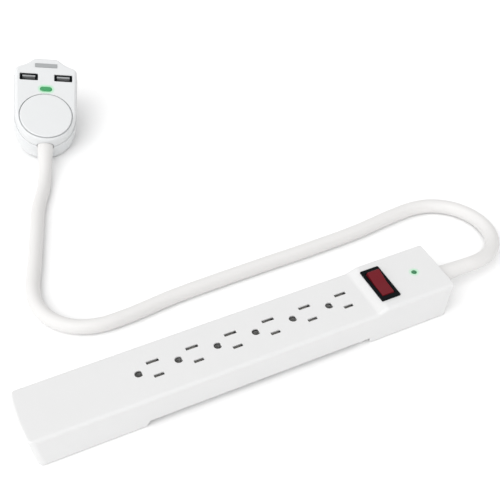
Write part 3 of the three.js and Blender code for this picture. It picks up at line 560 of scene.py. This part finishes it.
def catmull_rom(points, per_span):
    """Centripetal Catmull-Rom curve through every point, the line that the CAD cord follows."""
    points = [Vector(point) for point in points]
    ends = [2 * points[0] - points[1], *points, 2 * points[-1] - points[-2]]
    line = []
    for a, b, c, d in zip(ends, ends[1:], ends[2:], ends[3:]):
        spans = [max((q - p).length, 1e-6) ** 0.5 for p, q in ((a, b), (b, c), (c, d))]
        first = (b - a) / spans[0] - (c - a) / (spans[0] + spans[1]) + (c - b) / spans[1]
        last = (c - b) / spans[1] - (d - b) / (spans[1] + spans[2]) + (d - c) / spans[2]
        first *= spans[1]
        last *= spans[1]
        for step in range(per_span):
            t = step / per_span
            line.append(b + first * t + (3 * (c - b) - 2 * first - last) * t ** 2
                        + (2 * (b - c) + first + last) * t ** 3)
    line.append(points[-1])
    return line


def sweep(name, line, radius_at, sides=32):
    """A round tube along a line of points, its section carried along without twisting."""
    rings = []
    tangent = (line[1] - line[0]).normalized()
    side = tangent.orthogonal().normalized()
    for index, point in enumerate(line):
        ahead = line[min(index + 1, len(line) - 1)]
        behind = line[max(index - 1, 0)]
        tangent = (ahead - behind).normalized()
        side = (side - tangent * side.dot(tangent)).normalized()
        other = tangent.cross(side)
        radius = radius_at(index / (len(line) - 1))
        ring = []
        for number in range(sides):
            angle = 2 * math.pi * number / sides
            ring.append(point + (side * math.cos(angle) + other * math.sin(angle)) * radius)
        rings.append(ring)
    return loft(name, rings)


def add_cord():
    line = catmull_rom(CORD_ROUTE, 8)
    cord = sweep("mains_cord", line, lambda t: CORD_DIAMETER / 2 - 0.02)
    cord.data.shade_smooth()
    add_piece(cord, "cord")
    length = sum((b - a).length for a, b in zip(line, line[1:]))
    path = [tuple(point * MM) for point in line]
    return cord, path, length * MM


# ---------------------------------------------------------------- strip housing


def end_x(side, z):
    """Where an end face stands at a height: both lean in towards the feet."""
    if side < 0:
        return -HALF_LENGTH + LEFT_DRAFT * (1 - z / TOP_Z)
    return HALF_LENGTH - RIGHT_DRAFT * (1 - z / RAISED_Z)


def across_strip(name, profile, half):
    """Pushes a side profile across the strip, its blank end bowed outwards in the middle."""
    rings = []
    for share in (-1, -0.74, -0.48, -0.17, 0.17, 0.48, 0.74, 1):
        y = half * share
        bow = END_BOW * (y / HALF_WIDTH) ** 2
        rings.append([(x + bow if x < -HALF_LENGTH + 10 else x, y, z) for x, z in profile])
    return loft(name, rings)


def edge_radius(a, b):
    """Rounding of one edge of the housing's blank, given its two ends."""
    lengthwise = abs(a.x - b.x) > abs(a.y - b.y) and abs(a.x - b.x) > abs(a.z - b.z)
    on_flank = min(abs(a.y), abs(b.y)) > HALF_WIDTH - 0.01
    if max(a.z, b.z) < FOOT_LIFT + 2:
        across = abs(a.y - b.y) > 1
        at_blank_end = max(a.x, b.x) < -HALF_LENGTH + 10
        if across and at_blank_end:
            return 1.8
        return 0.8 if across or on_flank else 0.0
    if not on_flank and abs(a.y - b.y) < 0.01:
        return 0.0
    if on_flank and lengthwise:
        return EDGE_RADIUS
    if on_flank:
        return CORNER_RADIUS if a.x < 0 else EDGE_RADIUS
    if a.x < -HALF_LENGTH + 10:
        return 1.6
    return 1.2 if a.x > HALF_LENGTH - 1 else 1.4


def housing_blank():
    """The shell's outer form, with each edge rounded by its own amount."""
    rim_middle = FOOT_LIFT + RIM_Z
    profile = [
        (end_x(-1, RIM_Z), RIM_Z), (LEFT_FOOT_END_X, RIM_Z),
        (LEFT_FOOT_END_X + LEFT_FOOT_SLOPE, rim_middle), (RIGHT_FOOT_START_X, rim_middle),
        (RIGHT_FOOT_START_X, RIM_Z), (end_x(1, RIM_Z), RIM_Z), (HALF_LENGTH, RAISED_Z),
        (STEP_END_X, RAISED_Z), (STEP_START_X, TOP_Z), (-HALF_LENGTH, TOP_Z),
    ]
    blank = across_strip("housing", profile, HALF_WIDTH)
    mesh = blank.data
    weights = mesh.attributes.new("bevel_weight_edge", "FLOAT", "EDGE")
    for edge in mesh.edges:
        a, b = (mesh.vertices[index].co / MM for index in edge.vertices)
        weights.data[edge.index].value = edge_radius(a, b) / CORNER_RADIUS
    apply_modifier(
        blank, "BEVEL", width=CORNER_RADIUS * MM, segments=7, limit_method="WEIGHT",
        use_clamp_overlap=True, harden_normals=False,
    )
    return blank


def housing_cavity():
    floor = -1.0
    profile = [
        (end_x(-1, floor) + WALL, floor), (end_x(1, floor) - WALL, floor),
        (end_x(1, RAISED_Z) - WALL, RAISED_Z - WALL), (STEP_END_X + 1, RAISED_Z - WALL),
        (STEP_START_X + 1, TOP_Z - WALL), (end_x(-1, TOP_Z) + WALL, TOP_Z - WALL),
    ]
    return across_strip("cavity", profile, HALF_WIDTH - WALL)


def ground_hole_outline(x):
    """A round hole with a flat on the side towards the blade slots."""
    flat = GROUND_HOLE_RADIUS * 0.74
    turn = math.acos(flat / GROUND_HOLE_RADIUS)
    steps = 28
    points = []
    for step in range(steps + 1):
        angle = turn + (2 * math.pi - 2 * turn) * step / steps
        points.append((x + GROUND_HOLE_RADIUS * math.cos(angle), GROUND_HOLE_RADIUS * math.sin(angle)))
    return points


def outlet_cutters():
    """Slots, ground holes and the shallow recess behind each outlet that thins the face."""
    cutters = []
    recess_top = TOP_Z - OUTLET_WALL
    for index in range(OUTLET_COUNT):
        ground_x = FIRST_GROUND_X + index * OUTLET_PITCH
        blade_x = ground_x + BLADE_FROM_GROUND
        neutral = rectangle(NEUTRAL_SLOT_LENGTH, SLOT_WIDTH, 0.35, (blade_x, BLADE_HALF_SPACING), 3)
        live = rectangle(LIVE_SLOT_LENGTH, SLOT_WIDTH, 0.35, (blade_x, -BLADE_HALF_SPACING), 3)
        recess = rectangle(24, 20, 1, (ground_x + BLADE_FROM_GROUND / 2, 0), 3)
        cutters.append(prism("cutter", recess, recess_top - 2, recess_top))
        for outline in (ground_hole_outline(ground_x), neutral, live):
            cutters.append(slot_cutter("cutter", outline, TOP_Z, lip=0.2))
    return cutters


def add_housing():
    housing = carve(housing_blank(), housing_cavity())
    carve(housing, *outlet_cutters())
    switch_hole = rectangle(13.0, 29.0, 0.6, (SWITCH_X, SWITCH_Y), 3)
    lamp_hole = disc_outline(LAMP_RADIUS + 0.25, (LAMP_X, 0))
    carve(housing, prism("cutter", switch_hole, 20, 40))
    carve(housing, slot_cutter("cutter", lamp_hole, RAISED_Z, lip=0.2))
    lie = Matrix.Translation((HALF_LENGTH, 0, CORD_EXIT_Z)) @ Matrix.Rotation(math.pi / 2, 4, "Y")
    carve(housing, transform(rod(RELIEF_HOLE_RADIUS, -8, 8), lie))
    finish_normals(housing)
    add_piece(housing, "top_housing")


def bus_strip(name, y):
    """The flat strip that carries six outlets' contacts of one polarity."""
    middle = ((BUS_LEFT_X + BUS_RIGHT_X) / 2, y)
    outline = rectangle(BUS_RIGHT_X - BUS_LEFT_X, BUS_WIDTH, 0.6, middle, 3)
    return prism(name, outline, BUS_Z, BUS_Z + BUS_THICKNESS)


def add_blade_contacts(name, node, y):
    """Pairs of sprung leaves that close towards each other below a flared mouth."""
    strip = bus_strip(name, y)
    top, thin = CONTACT_TOP_Z, 0.5
    for index in range(OUTLET_COUNT):
        x = FIRST_GROUND_X + index * OUTLET_PITCH + BLADE_FROM_GROUND
        for side in (-1, 1):
            line = [(1.15, BUS_Z + 0.3), (1.15, top - 8), (0.3, top - 4), (1.55, top)]
            inner = [(y + side * across, z) for across, z in line]
            outer = [(y + side * (across + thin), z) for across, z in reversed(line)]
            unite(strip, prism("leaf", inner + outer, x - 3.2, x + 3.2, "yz"))
    finish_normals(strip)
    add_piece(strip, node)


def add_ground_contacts():
    """Sockets for the round pins, each with a collet of four sprung leaves inside."""
    strip = bus_strip("ground_contacts", 0)
    top = CONTACT_TOP_Z
    profile = [
        (0, BUS_Z + 0.1), (2.9, BUS_Z + 0.1), (2.9, top - 0.8), (3.2, top), (3.0, top),
        (0.7, top - 6.0), (0.7, top - 7.0), (2.4, top - 3.4), (2.4, BUS_Z + 0.9), (0, BUS_Z + 0.9),
    ]
    for index in range(OUTLET_COUNT):
        place = Matrix.Translation((FIRST_GROUND_X + index * OUTLET_PITCH, 0, 0))
        socket = turned("socket", profile, 32)
        for turn in (45, -45):
            gap = prism("cutter", rectangle(6.8, 0.35, 0.1, steps=1), top - 8, top + 1)
            carve(socket, transform(gap, Matrix.Rotation(math.radians(turn), 4, "Z")))
        unite(strip, transform(socket, place))
    finish_normals(strip)
    add_piece(strip, "ground_bus_bar", finish="dull_tin")


def screw(name, head_radius, head_height, length):
    """A round-headed screw standing on its head, with a cross-shaped recess below."""
    shank = 1.2
    profile = rounded_profile([
        (0, 0), (head_radius, 0), (head_radius, head_height), (shank, head_height + 0.1),
        (shank, length - 1.5), (0, length),
    ], 0.3)
    made = turned(name, profile, 40)
    for width, height in ((head_radius * 1.1, 0.6), (0.6, head_radius * 1.1)):
        carve(made, prism("cutter", rectangle(width, height, 0.1, steps=2), -1, head_height * 0.6))
    return made


def add_cover_screws():
    points = [(x, y) for x in COVER_SCREW_X for y in (-COVER_SCREW_Y, COVER_SCREW_Y)]
    for number, (x, y) in enumerate(points, 1):
        on_foot = x < LEFT_FOOT_END_X or x > RIGHT_FOOT_START_X
        under = (0 if on_foot else FOOT_LIFT) + 0.3
        made = screw(f"cover_fastener_{number}", 2.8, 0.9, 10.5)
        finish_normals(transform(made, Matrix.Translation((x, y, under))))
        add_piece(made, f"cover_screw_{number}")


# ---------------------------------------------------------------- switch


def add_switch():
    outline = rectangle(BEZEL_WIDTH, BEZEL_LENGTH, 1.0, (SWITCH_X, SWITCH_Y))
    low = RAISED_Z + 0.03
    high = RAISED_Z + BEZEL_HEIGHT
    rings = [
        [(x, y, low) for x, y in outline],
        [(x, y, high - 0.5) for x, y in outline],
        [(x, y, high - 0.15) for x, y in inset(outline, 0.15)],
        [(x, y, high) for x, y in inset(outline, 0.5)],
    ]
    bezel = loft("switch_bezel_and_body", rings)
    body = prism("body", rectangle(12.4, 28.4, 0.4, (SWITCH_X, SWITCH_Y), 3), 10.5, RAISED_Z + 0.6)
    unite(bezel, body)
    mouth = rectangle(ROCKER_WIDTH + 0.6, 2 * ROCKER_RADIUS + 0.6, 0.3, (SWITCH_X, SWITCH_Y), 3)
    carve(bezel, slot_cutter("cutter", mouth, high, depth=18.0, lip=0.4))
    crosswise = Matrix.Rotation(math.pi / 2, 4, "Y")
    pivot = Matrix.Translation((SWITCH_X, SWITCH_Y, ROCKER_PIVOT_Z)) @ crosswise
    carve(bezel, transform(rod(1.3, -5.7, 5.7, 24), pivot))
    finish_normals(soften(bezel, 0.12))
    add_piece(bezel, "switch_body")


def rocker_profile():
    """End faces round about the pivot; the top is a shallow V with a soft crease."""
    top, bottom, steps = 25.5, -16.0, 8
    points = []
    for step in range(steps + 1):
        angle = math.radians(bottom + (top - bottom) * step / steps)
        points.append((ROCKER_RADIUS * math.cos(angle), ROCKER_RADIUS * math.sin(angle)))
    rim = ROCKER_RADIUS * math.sin(math.radians(top))
    reach = ROCKER_RADIUS * math.cos(math.radians(top))
    dip = 1.27
    for step in range(-10, 11):
        y = -step / 10 * reach * 0.94
        points.append((y, rim - dip + dip * math.sqrt((y / reach) ** 2 + 0.006)))
    for step in range(steps + 1):
        angle = math.radians(180 - top + (top - bottom) * step / steps)
        points.append((ROCKER_RADIUS * math.cos(angle), ROCKER_RADIUS * math.sin(angle)))
    return points


def add_rocker():
    half = ROCKER_WIDTH / 2
    rocker = prism("rocker_button", rocker_profile(), -half, half, "yz")
    pins = rod(0.95, -half - 0.8, half + 0.8, 24)
    soften(rocker, 0.45, 4, 50)
    unite(rocker, transform(pins, Matrix.Rotation(math.pi / 2, 4, "Y")))
    carve(rocker, rod(1.9, -9, -1.7, 32))
    place = Matrix.Translation((SWITCH_X, SWITCH_Y, ROCKER_PIVOT_Z))
    transform(rocker, place @ Matrix.Rotation(math.radians(ROCKER_REST_DEG), 4, "X"))
    finish_normals(rocker, 40)
    add_piece(rocker, "rocker", "rocker")


def add_lamp():
    profile = [(0, 22.3), (2.4, 22.3), (2.4, 26.0), (LAMP_RADIUS, 26.1), (LAMP_RADIUS, 28.5)]
    for step in range(1, 7):
        angle = math.radians(15 * step)
        profile.append((LAMP_RADIUS * math.cos(angle), 28.5 + 0.65 * math.sin(angle)))
    profile[-1] = (0, 29.15)
    lamp = transform(turned("status_lamp_lens", profile, 40), Matrix.Translation((LAMP_X, 0, 0)))
    finish_normals(lamp, 50)
    add_piece(lamp, "status_lamp")


# ---------------------------------------------------------------- plug

def bezier(points, steps):
    """Points along a curve of any order, without its last one."""
    result = []
    for step in range(steps):
        t = step / steps
        layer = [Vector(point) for point in points]
        while len(layer) > 1:
            layer = [a.lerp(b, t) for a, b in zip(layer, layer[1:])]
        result.append(tuple(layer[0]))
    return result


def plug_outline(grow=0.0):
    """Right half from the foot up, then its mirror image: counter-clockwise, in the plug's frame."""
    wide = PLUG_HALF_WIDTH
    right = (
        bezier([(0, PLUG_BOTTOM_Y), (14, PLUG_BOTTOM_Y), (wide - 1.2, -12), (wide - 0.8, 8)], 22)
        + bezier([(wide - 0.8, 8), (wide, 47.5)], 6)
        + bezier([(wide, 47.5), (wide, 51.4), (wide - 4, 52.9)], 8)
        + bezier([(wide - 4, 52.9), (16, 55.6), (12.4, 59.6)], 10)
        + bezier([(12.4, 59.6), (10.4, PLUG_CROWN_Y), (7, PLUG_CROWN_Y)], 8)
        + bezier([(7, PLUG_CROWN_Y), (0, PLUG_CROWN_Y)], 3)
    )
    left = [(-x, y) for x, y in reversed(right[1:])]
    middle = (PLUG_CROWN_Y + PLUG_BOTTOM_Y) / 2
    scale_x = 1 + grow / PLUG_HALF_WIDTH
    scale_y = 1 + grow / (PLUG_CROWN_Y - middle)
    whole = right + [(0.0, PLUG_CROWN_Y)] + left
    return [(x * scale_x, middle + (y - middle) * scale_y) for x, y in whole]


def soft_shell(name, outline, low, high, low_round, high_round, steps=7):
    """A solid of the outline whose lower and upper edges are rounded by (inset, height)."""
    def rounded_rings(surface, inward, across, up):
        rings = []
        for step in range(steps + 1):
            angle = math.pi / 2 * step / steps
            level = surface + inward * up * (1 - math.sin(angle))
            ring = inset(outline, across * (1 - math.cos(angle)))
            rings.append([(x, y, level) for x, y in ring])
        return rings

    lower = rounded_rings(low, 1, *low_round)
    upper = rounded_rings(high, -1, *high_round)
    return loft(name, lower[::-1] + upper)


def grip_cutters():
    """Thin arcs in the parting line, low on each side of the plug."""
    cutters = []
    for side in (-1, 1):
        outline = []
        spread_up, spread_down, steps = 0.30, 0.44, 12
        angles = [-spread_down + (spread_up + spread_down) * step / steps for step in range(steps + 1)]
        for radius, order in ((31.0, angles), (23.6, angles[::-1])):
            outline += [(side * radius * math.cos(a), radius * math.sin(a)) for a in order]
        cutters.append(prism("cutter", outline, PLUG_PARTING_Z - 1, PLUG_PARTING_Z + 1.4))
    return cutters


def relief_hole():
    turn = Matrix.Rotation(math.pi / 2, 4, "X")
    place = Matrix.Translation((0, PLUG_BOTTOM_Y, PLUG_PARTING_Z)) @ turn
    return transform(rod(RELIEF_HOLE_RADIUS, -8, 8), place)


def add_front_shell():
    low = PLUG_PARTING_Z + 0.15
    shell = soft_shell("plug_front", plug_outline(), low, PLUG_THICKNESS, (0.3, 0.3), (2.8, 4.2))
    cavity = prism("cutter", plug_outline(-PLUG_WALL), low - 1, PLUG_THICKNESS - PLUG_FACE_THICKNESS)
    carve(shell, cavity, relief_hole(), *grip_cutters())
    seat_radius = CAP_RADIUS + CAP_RING_GAP
    seat = disc_outline(seat_radius, (0, 0), 24)
    carve(shell, slot_cutter("cutter", seat, PLUG_THICKNESS, CAP_SEAT_DEPTH, 0.25))
    for x in (-PORT_X, PORT_X):
        opening = rectangle(*PORT_OPENING, 0.9, (x, PORT_Y))
        carve(shell, slot_cutter("cutter", opening, PLUG_THICKNESS, 8, 0.45))
    window = rectangle(10.4, 5.0, 2.45, (0, INDICATOR_Y))
    carve(shell, slot_cutter("cutter", window, PLUG_THICKNESS, 6, 0.2))
    label = rectangle(19.6, 4.5, 0.6, (0, LABEL_Y), 4)
    carve(shell, slot_cutter("cutter", label, PLUG_THICKNESS, 0.4, 0.1))
    transform(shell, PLUG_MATRIX)
    finish_normals(shell)
    add_piece(shell, "plug_front_shell")


def blade_slot_cutters():
    y = PIN_Y + BLADE_FROM_GROUND
    outlines = (
        rectangle(BLADE_THICKNESS + 0.6, NEUTRAL_BLADE_WIDTH + 0.6, 0.3, (-BLADE_HALF_SPACING, y), 3),
        rectangle(BLADE_THICKNESS + 0.6, LIVE_BLADE_WIDTH + 0.6, 0.3, (BLADE_HALF_SPACING, y), 3),
        disc_outline(PIN_RADIUS + 0.3, (0, PIN_Y)),
    )
    return [prism("cutter", outline, -5, 10) for outline in outlines]


def add_rear_shell():
    high = PLUG_PARTING_Z - 0.15
    outline = plug_outline(PLUG_REAR_MARGIN)
    shell = soft_shell("plug_rear", outline, 0.0, high, (2.2, 2.2), (0.5, 0.5))
    cavity = prism("cutter", plug_outline(PLUG_REAR_MARGIN - PLUG_WALL), PLUG_WALL, 30)
    carve(shell, cavity, relief_hole(), *blade_slot_cutters())
    bore_profile = [
        (0, -3), (3.0, -3), (3.0, 0.0), (2.7, 0.3), (2.7, 6), (1.9, 6), (1.9, 30), (0, 30),
    ]
    for x, y in PLUG_SCREWS:
        place = Matrix.Translation((x, y, 0))
        post = turned("post", [(0, 1), (3.4, 1), (3.4, high), (0, high)], 32)
        unite(shell, transform(post, place))
        carve(shell, transform(turned("cutter", bore_profile, 32), place))
    transform(shell, PLUG_MATRIX)
    finish_normals(shell)
    add_piece(shell, "plug_rear_shell")


def add_cap():
    low = PLUG_THICKNESS - CAP_SEAT_DEPTH + 0.3
    high = PLUG_THICKNESS + 0.9
    profile = [(0, low), (CAP_RADIUS, low)]
    for step in range(7):
        angle = math.radians(90 * step / 6)
        profile.append((CAP_RADIUS - 0.9 + 0.9 * math.cos(angle), high - 1.15 + 0.9 * math.sin(angle)))
    for step in range(1, 9):
        t = step / 8
        profile.append(((CAP_RADIUS - 0.9) * (1 - t), high - 0.25 + 0.25 * (1 - (1 - t) ** 2)))
    cap = transform(turned("plug_cap", profile, 96), PLUG_MATRIX)
    finish_normals(cap, 50)
    add_piece(cap, "plug_round_cap")


def add_indicator():
    outline = rectangle(9.8, 4.4, 2.15, (0, INDICATOR_Y), 10)
    indicator = soft_shell("indicator_lens", outline, 24, PLUG_THICKNESS + 0.25, (0.1, 0.1), (1.2, 0.5))
    finish_normals(transform(indicator, PLUG_MATRIX), 50)
    add_piece(indicator, "plug_indicator", finish="indicator_lens")


def add_label():
    outline = rectangle(19.0, 3.9, 0.5, (0, LABEL_Y), 4)
    low = PLUG_THICKNESS - 0.22
    label = soft_shell("blank_label", outline, low, low + 0.34, (0.05, 0.05), (0.12, 0.12), 2)
    finish_normals(transform(label, PLUG_MATRIX))
    add_piece(label, "plug_label_plate")


def add_port(side, x):
    low, high = 15.5, 28.5
    width, height = (size - 0.6 for size in PORT_OPENING)
    outline = rectangle(width, height, 0.7, (x, PORT_Y))
    port = soft_shell(f"port_{side}", outline, low, high, (0.2, 0.2), (0.3, 0.3), 3)
    carve(port, slot_cutter("cutter", rectangle(12.4, 5.2, 0.3, (x, PORT_Y), 3), high, 11, 0.5))
    finish_normals(transform(port, PLUG_MATRIX))
    add_piece(port, f"usb_port_{side}")
    tongue_outline = rectangle(11.2, 1.6, 0.25, (x, PORT_Y + 1.45), 3)
    tongue = soft_shell(f"tongue_{side}", tongue_outline, 17.9, 27.9, (0.1, 0.1), (0.35, 0.35), 3)
    finish_normals(transform(tongue, PLUG_MATRIX))
    add_piece(tongue, f"usb_tongue_{side}")


def add_blade(name, node, width, x):
    thin = BLADE_THICKNESS / 2
    y = PIN_Y + BLADE_FROM_GROUND
    half = width / 2
    outline = [
        (y - half, BLADE_ROOT_Z), (y - half, -BLADE_LENGTH + 2.2), (y - half + 1.6, -BLADE_LENGTH),
        (y + half - 1.6, -BLADE_LENGTH), (y + half, -BLADE_LENGTH + 2.2),
        (y + half, BLADE_ROOT_Z),
    ]
    blade = prism(name, outline, x - thin, x + thin, "yz")
    crosswise = Matrix.Rotation(math.pi / 2, 4, "Y")
    place = Matrix.Translation((x, y, -BLADE_LENGTH + 5.5)) @ crosswise
    carve(blade, transform(rod(1.6, -4, 4, 32), place))
    finish_normals(transform(soften(blade, 0.3, 3, 20), PLUG_MATRIX))
    add_piece(blade, node)


def add_ground_pin():
    profile = [(0, -PIN_LENGTH)]
    for step in range(1, 9):
        angle = math.radians(90 * step / 8)
        profile.append((PIN_RADIUS * math.sin(angle), -PIN_LENGTH + 2.2 * (1 - math.cos(angle))))
    profile += [(PIN_RADIUS, BLADE_ROOT_Z), (0, BLADE_ROOT_Z)]
    pin = transform(turned("earth_pin", profile, 40), PLUG_MATRIX @ Matrix.Translation((0, PIN_Y, 0)))
    finish_normals(pin, 50)
    add_piece(pin, "ground_pin")


def relief_profile(start, flange, length):
    """Flange, neck and a gently tapering sleeve that thins out over the jacket's first millimetre."""
    jacket = CORD_DIAMETER / 2
    end = start + length + 1
    return rounded_profile([
        (0, start), (8.6, start), (8.6, start + flange), (RELIEF_RADIUS, start + flange),
        (RELIEF_RADIUS, start + flange + 6), (RELIEF_TIP_RADIUS, end - 5), (jacket + 0.03, end),
        (jacket - 0.4, end), (0, end),
    ], 1.5)


def add_reliefs():
    start = HALF_LENGTH - RELIEF_DEPTH
    strip_relief = turned("strip_relief", relief_profile(start, 3, RELIEF_DEPTH + RELIEF_LENGTH), 64)
    lie = Matrix.Translation((0, 0, CORD_EXIT_Z)) @ Matrix.Rotation(math.pi / 2, 4, "Y")
    finish_normals(transform(strip_relief, lie), 50)
    add_piece(strip_relief, "strip_strain_relief")
    plug_relief = turned("plug_relief", relief_profile(14.5, 5, 10.5 + PLUG_RELIEF_LENGTH - 0.3), 64)
    point_down = Matrix.Translation((0, 0, PLUG_PARTING_Z)) @ Matrix.Rotation(math.pi / 2, 4, "X")
    finish_normals(transform(plug_relief, PLUG_MATRIX @ point_down), 50)
    add_piece(plug_relief, "plug_strain_relief")


def add_plug_screws():
    for number, (x, y) in enumerate(PLUG_SCREWS, 1):
        made = screw(f"plug_fastener_{number}", 2.3, 1.2, 17.1)
        transform(made, PLUG_MATRIX @ Matrix.Translation((x, y, 4.4)))
        finish_normals(made)
        add_piece(made, f"plug_screw_{number}")


# ---------------------------------------------------------------- CAD nodes that stay


def dress_frame():
    """Gives every CAD node its slot's material and a fine rounding of its edges."""
    for name, obj in frame["nodes"].items():
        dress(obj, MATERIALS[SLOT_OF[name]])
        rounding = obj.modifiers.new("fine edges", "BEVEL")
        rounding.width = 0.12 * MM
        rounding.segments = 2
        rounding.limit_method = "ANGLE"
        rounding.angle_limit = math.radians(40)
        obj.data.set_sharp_from_angle(angle=math.radians(35))


# ---------------------------------------------------------------- studio


def area_light(name, place, target, size, power):
    light = bpy.data.lights.new(name, "AREA")
    light.shape = "DISK"
    light.size = size
    light.energy = power
    holder = bpy.data.objects.new(name, light)
    holder.location = place
    direction = Vector(target) - Vector(place)
    holder.rotation_euler = direction.to_track_quat("-Z", "Y").to_euler()
    bpy.context.scene.collection.objects.link(holder)


def add_studio():
    """A plain white floor under a wide light; the surroundings are brighter on the left."""
    bm = bmesh.new()
    bmesh.ops.create_grid(bm, x_segments=1, y_segments=1, size=4000)
    floor = link_mesh("floor", bm)
    floor.location.z = -0.0002
    material, nodes, links, shader = new_material("floor")
    cloud = noise(nodes, links, 3.0)
    links.new(tint(nodes, links, cloud, FLOOR_DARK, FLOOR_LIGHT), shader.inputs["Base Color"])
    shader.inputs["Roughness"].default_value = 0.9
    shader.inputs["Specular IOR Level"].default_value = 0.1
    dress(floor, material)
    world = bpy.data.worlds.new("studio")
    world.use_nodes = True
    nodes, links = world.node_tree.nodes, world.node_tree.links
    background = nodes["Background"]
    background.inputs["Color"].default_value = (1.0, 1.0, 1.0, 1)
    direction = nodes.new("ShaderNodeSeparateXYZ")
    links.new(nodes.new("ShaderNodeTexCoord").outputs["Generated"], direction.inputs[0])
    brightness = nodes.new("ShaderNodeMapRange")
    brightness.inputs["From Min"].default_value = -1.0
    brightness.inputs["From Max"].default_value = 1.0
    brightness.inputs["To Min"].default_value = LIGHT_FROM_LEFT
    brightness.inputs["To Max"].default_value = LIGHT_FROM_RIGHT
    links.new(direction.outputs["X"], brightness.inputs["Value"])
    links.new(brightness.outputs["Result"], background.inputs["Strength"])
    bpy.context.scene.world = world
    area_light("key", KEY_PLACE, KEY_TARGET, KEY_SIZE, KEY_POWER)
    bpy.context.scene.view_settings.view_transform = "Standard"


# ---------------------------------------------------------------- build

SLOT_OF = {part["node"]: part["material_slot"] for part in frame["record"]["subparts"]}
MATERIALS = make_materials()

add_camera()
dress_frame()
cord, cord_path, cord_length = add_cord()
add_reliefs()
add_housing()
add_cover_screws()
add_blade_contacts("live_contacts", "live_bus_bar", -BLADE_HALF_SPACING)
add_blade_contacts("neutral_contacts", "neutral_bus_bar", BLADE_HALF_SPACING)
add_ground_contacts()
add_switch()
add_rocker()
add_lamp()
add_front_shell()
add_rear_shell()
add_cap()
add_indicator()
add_label()
add_port("left", -PORT_X)
add_port("right", PORT_X)
add_blade("neutral_prong", "neutral_blade", NEUTRAL_BLADE_WIDTH, -BLADE_HALF_SPACING)
add_blade("live_prong", "live_blade", LIVE_BLADE_WIDTH, BLADE_HALF_SPACING)
add_ground_pin()
add_plug_screws()
add_studio()
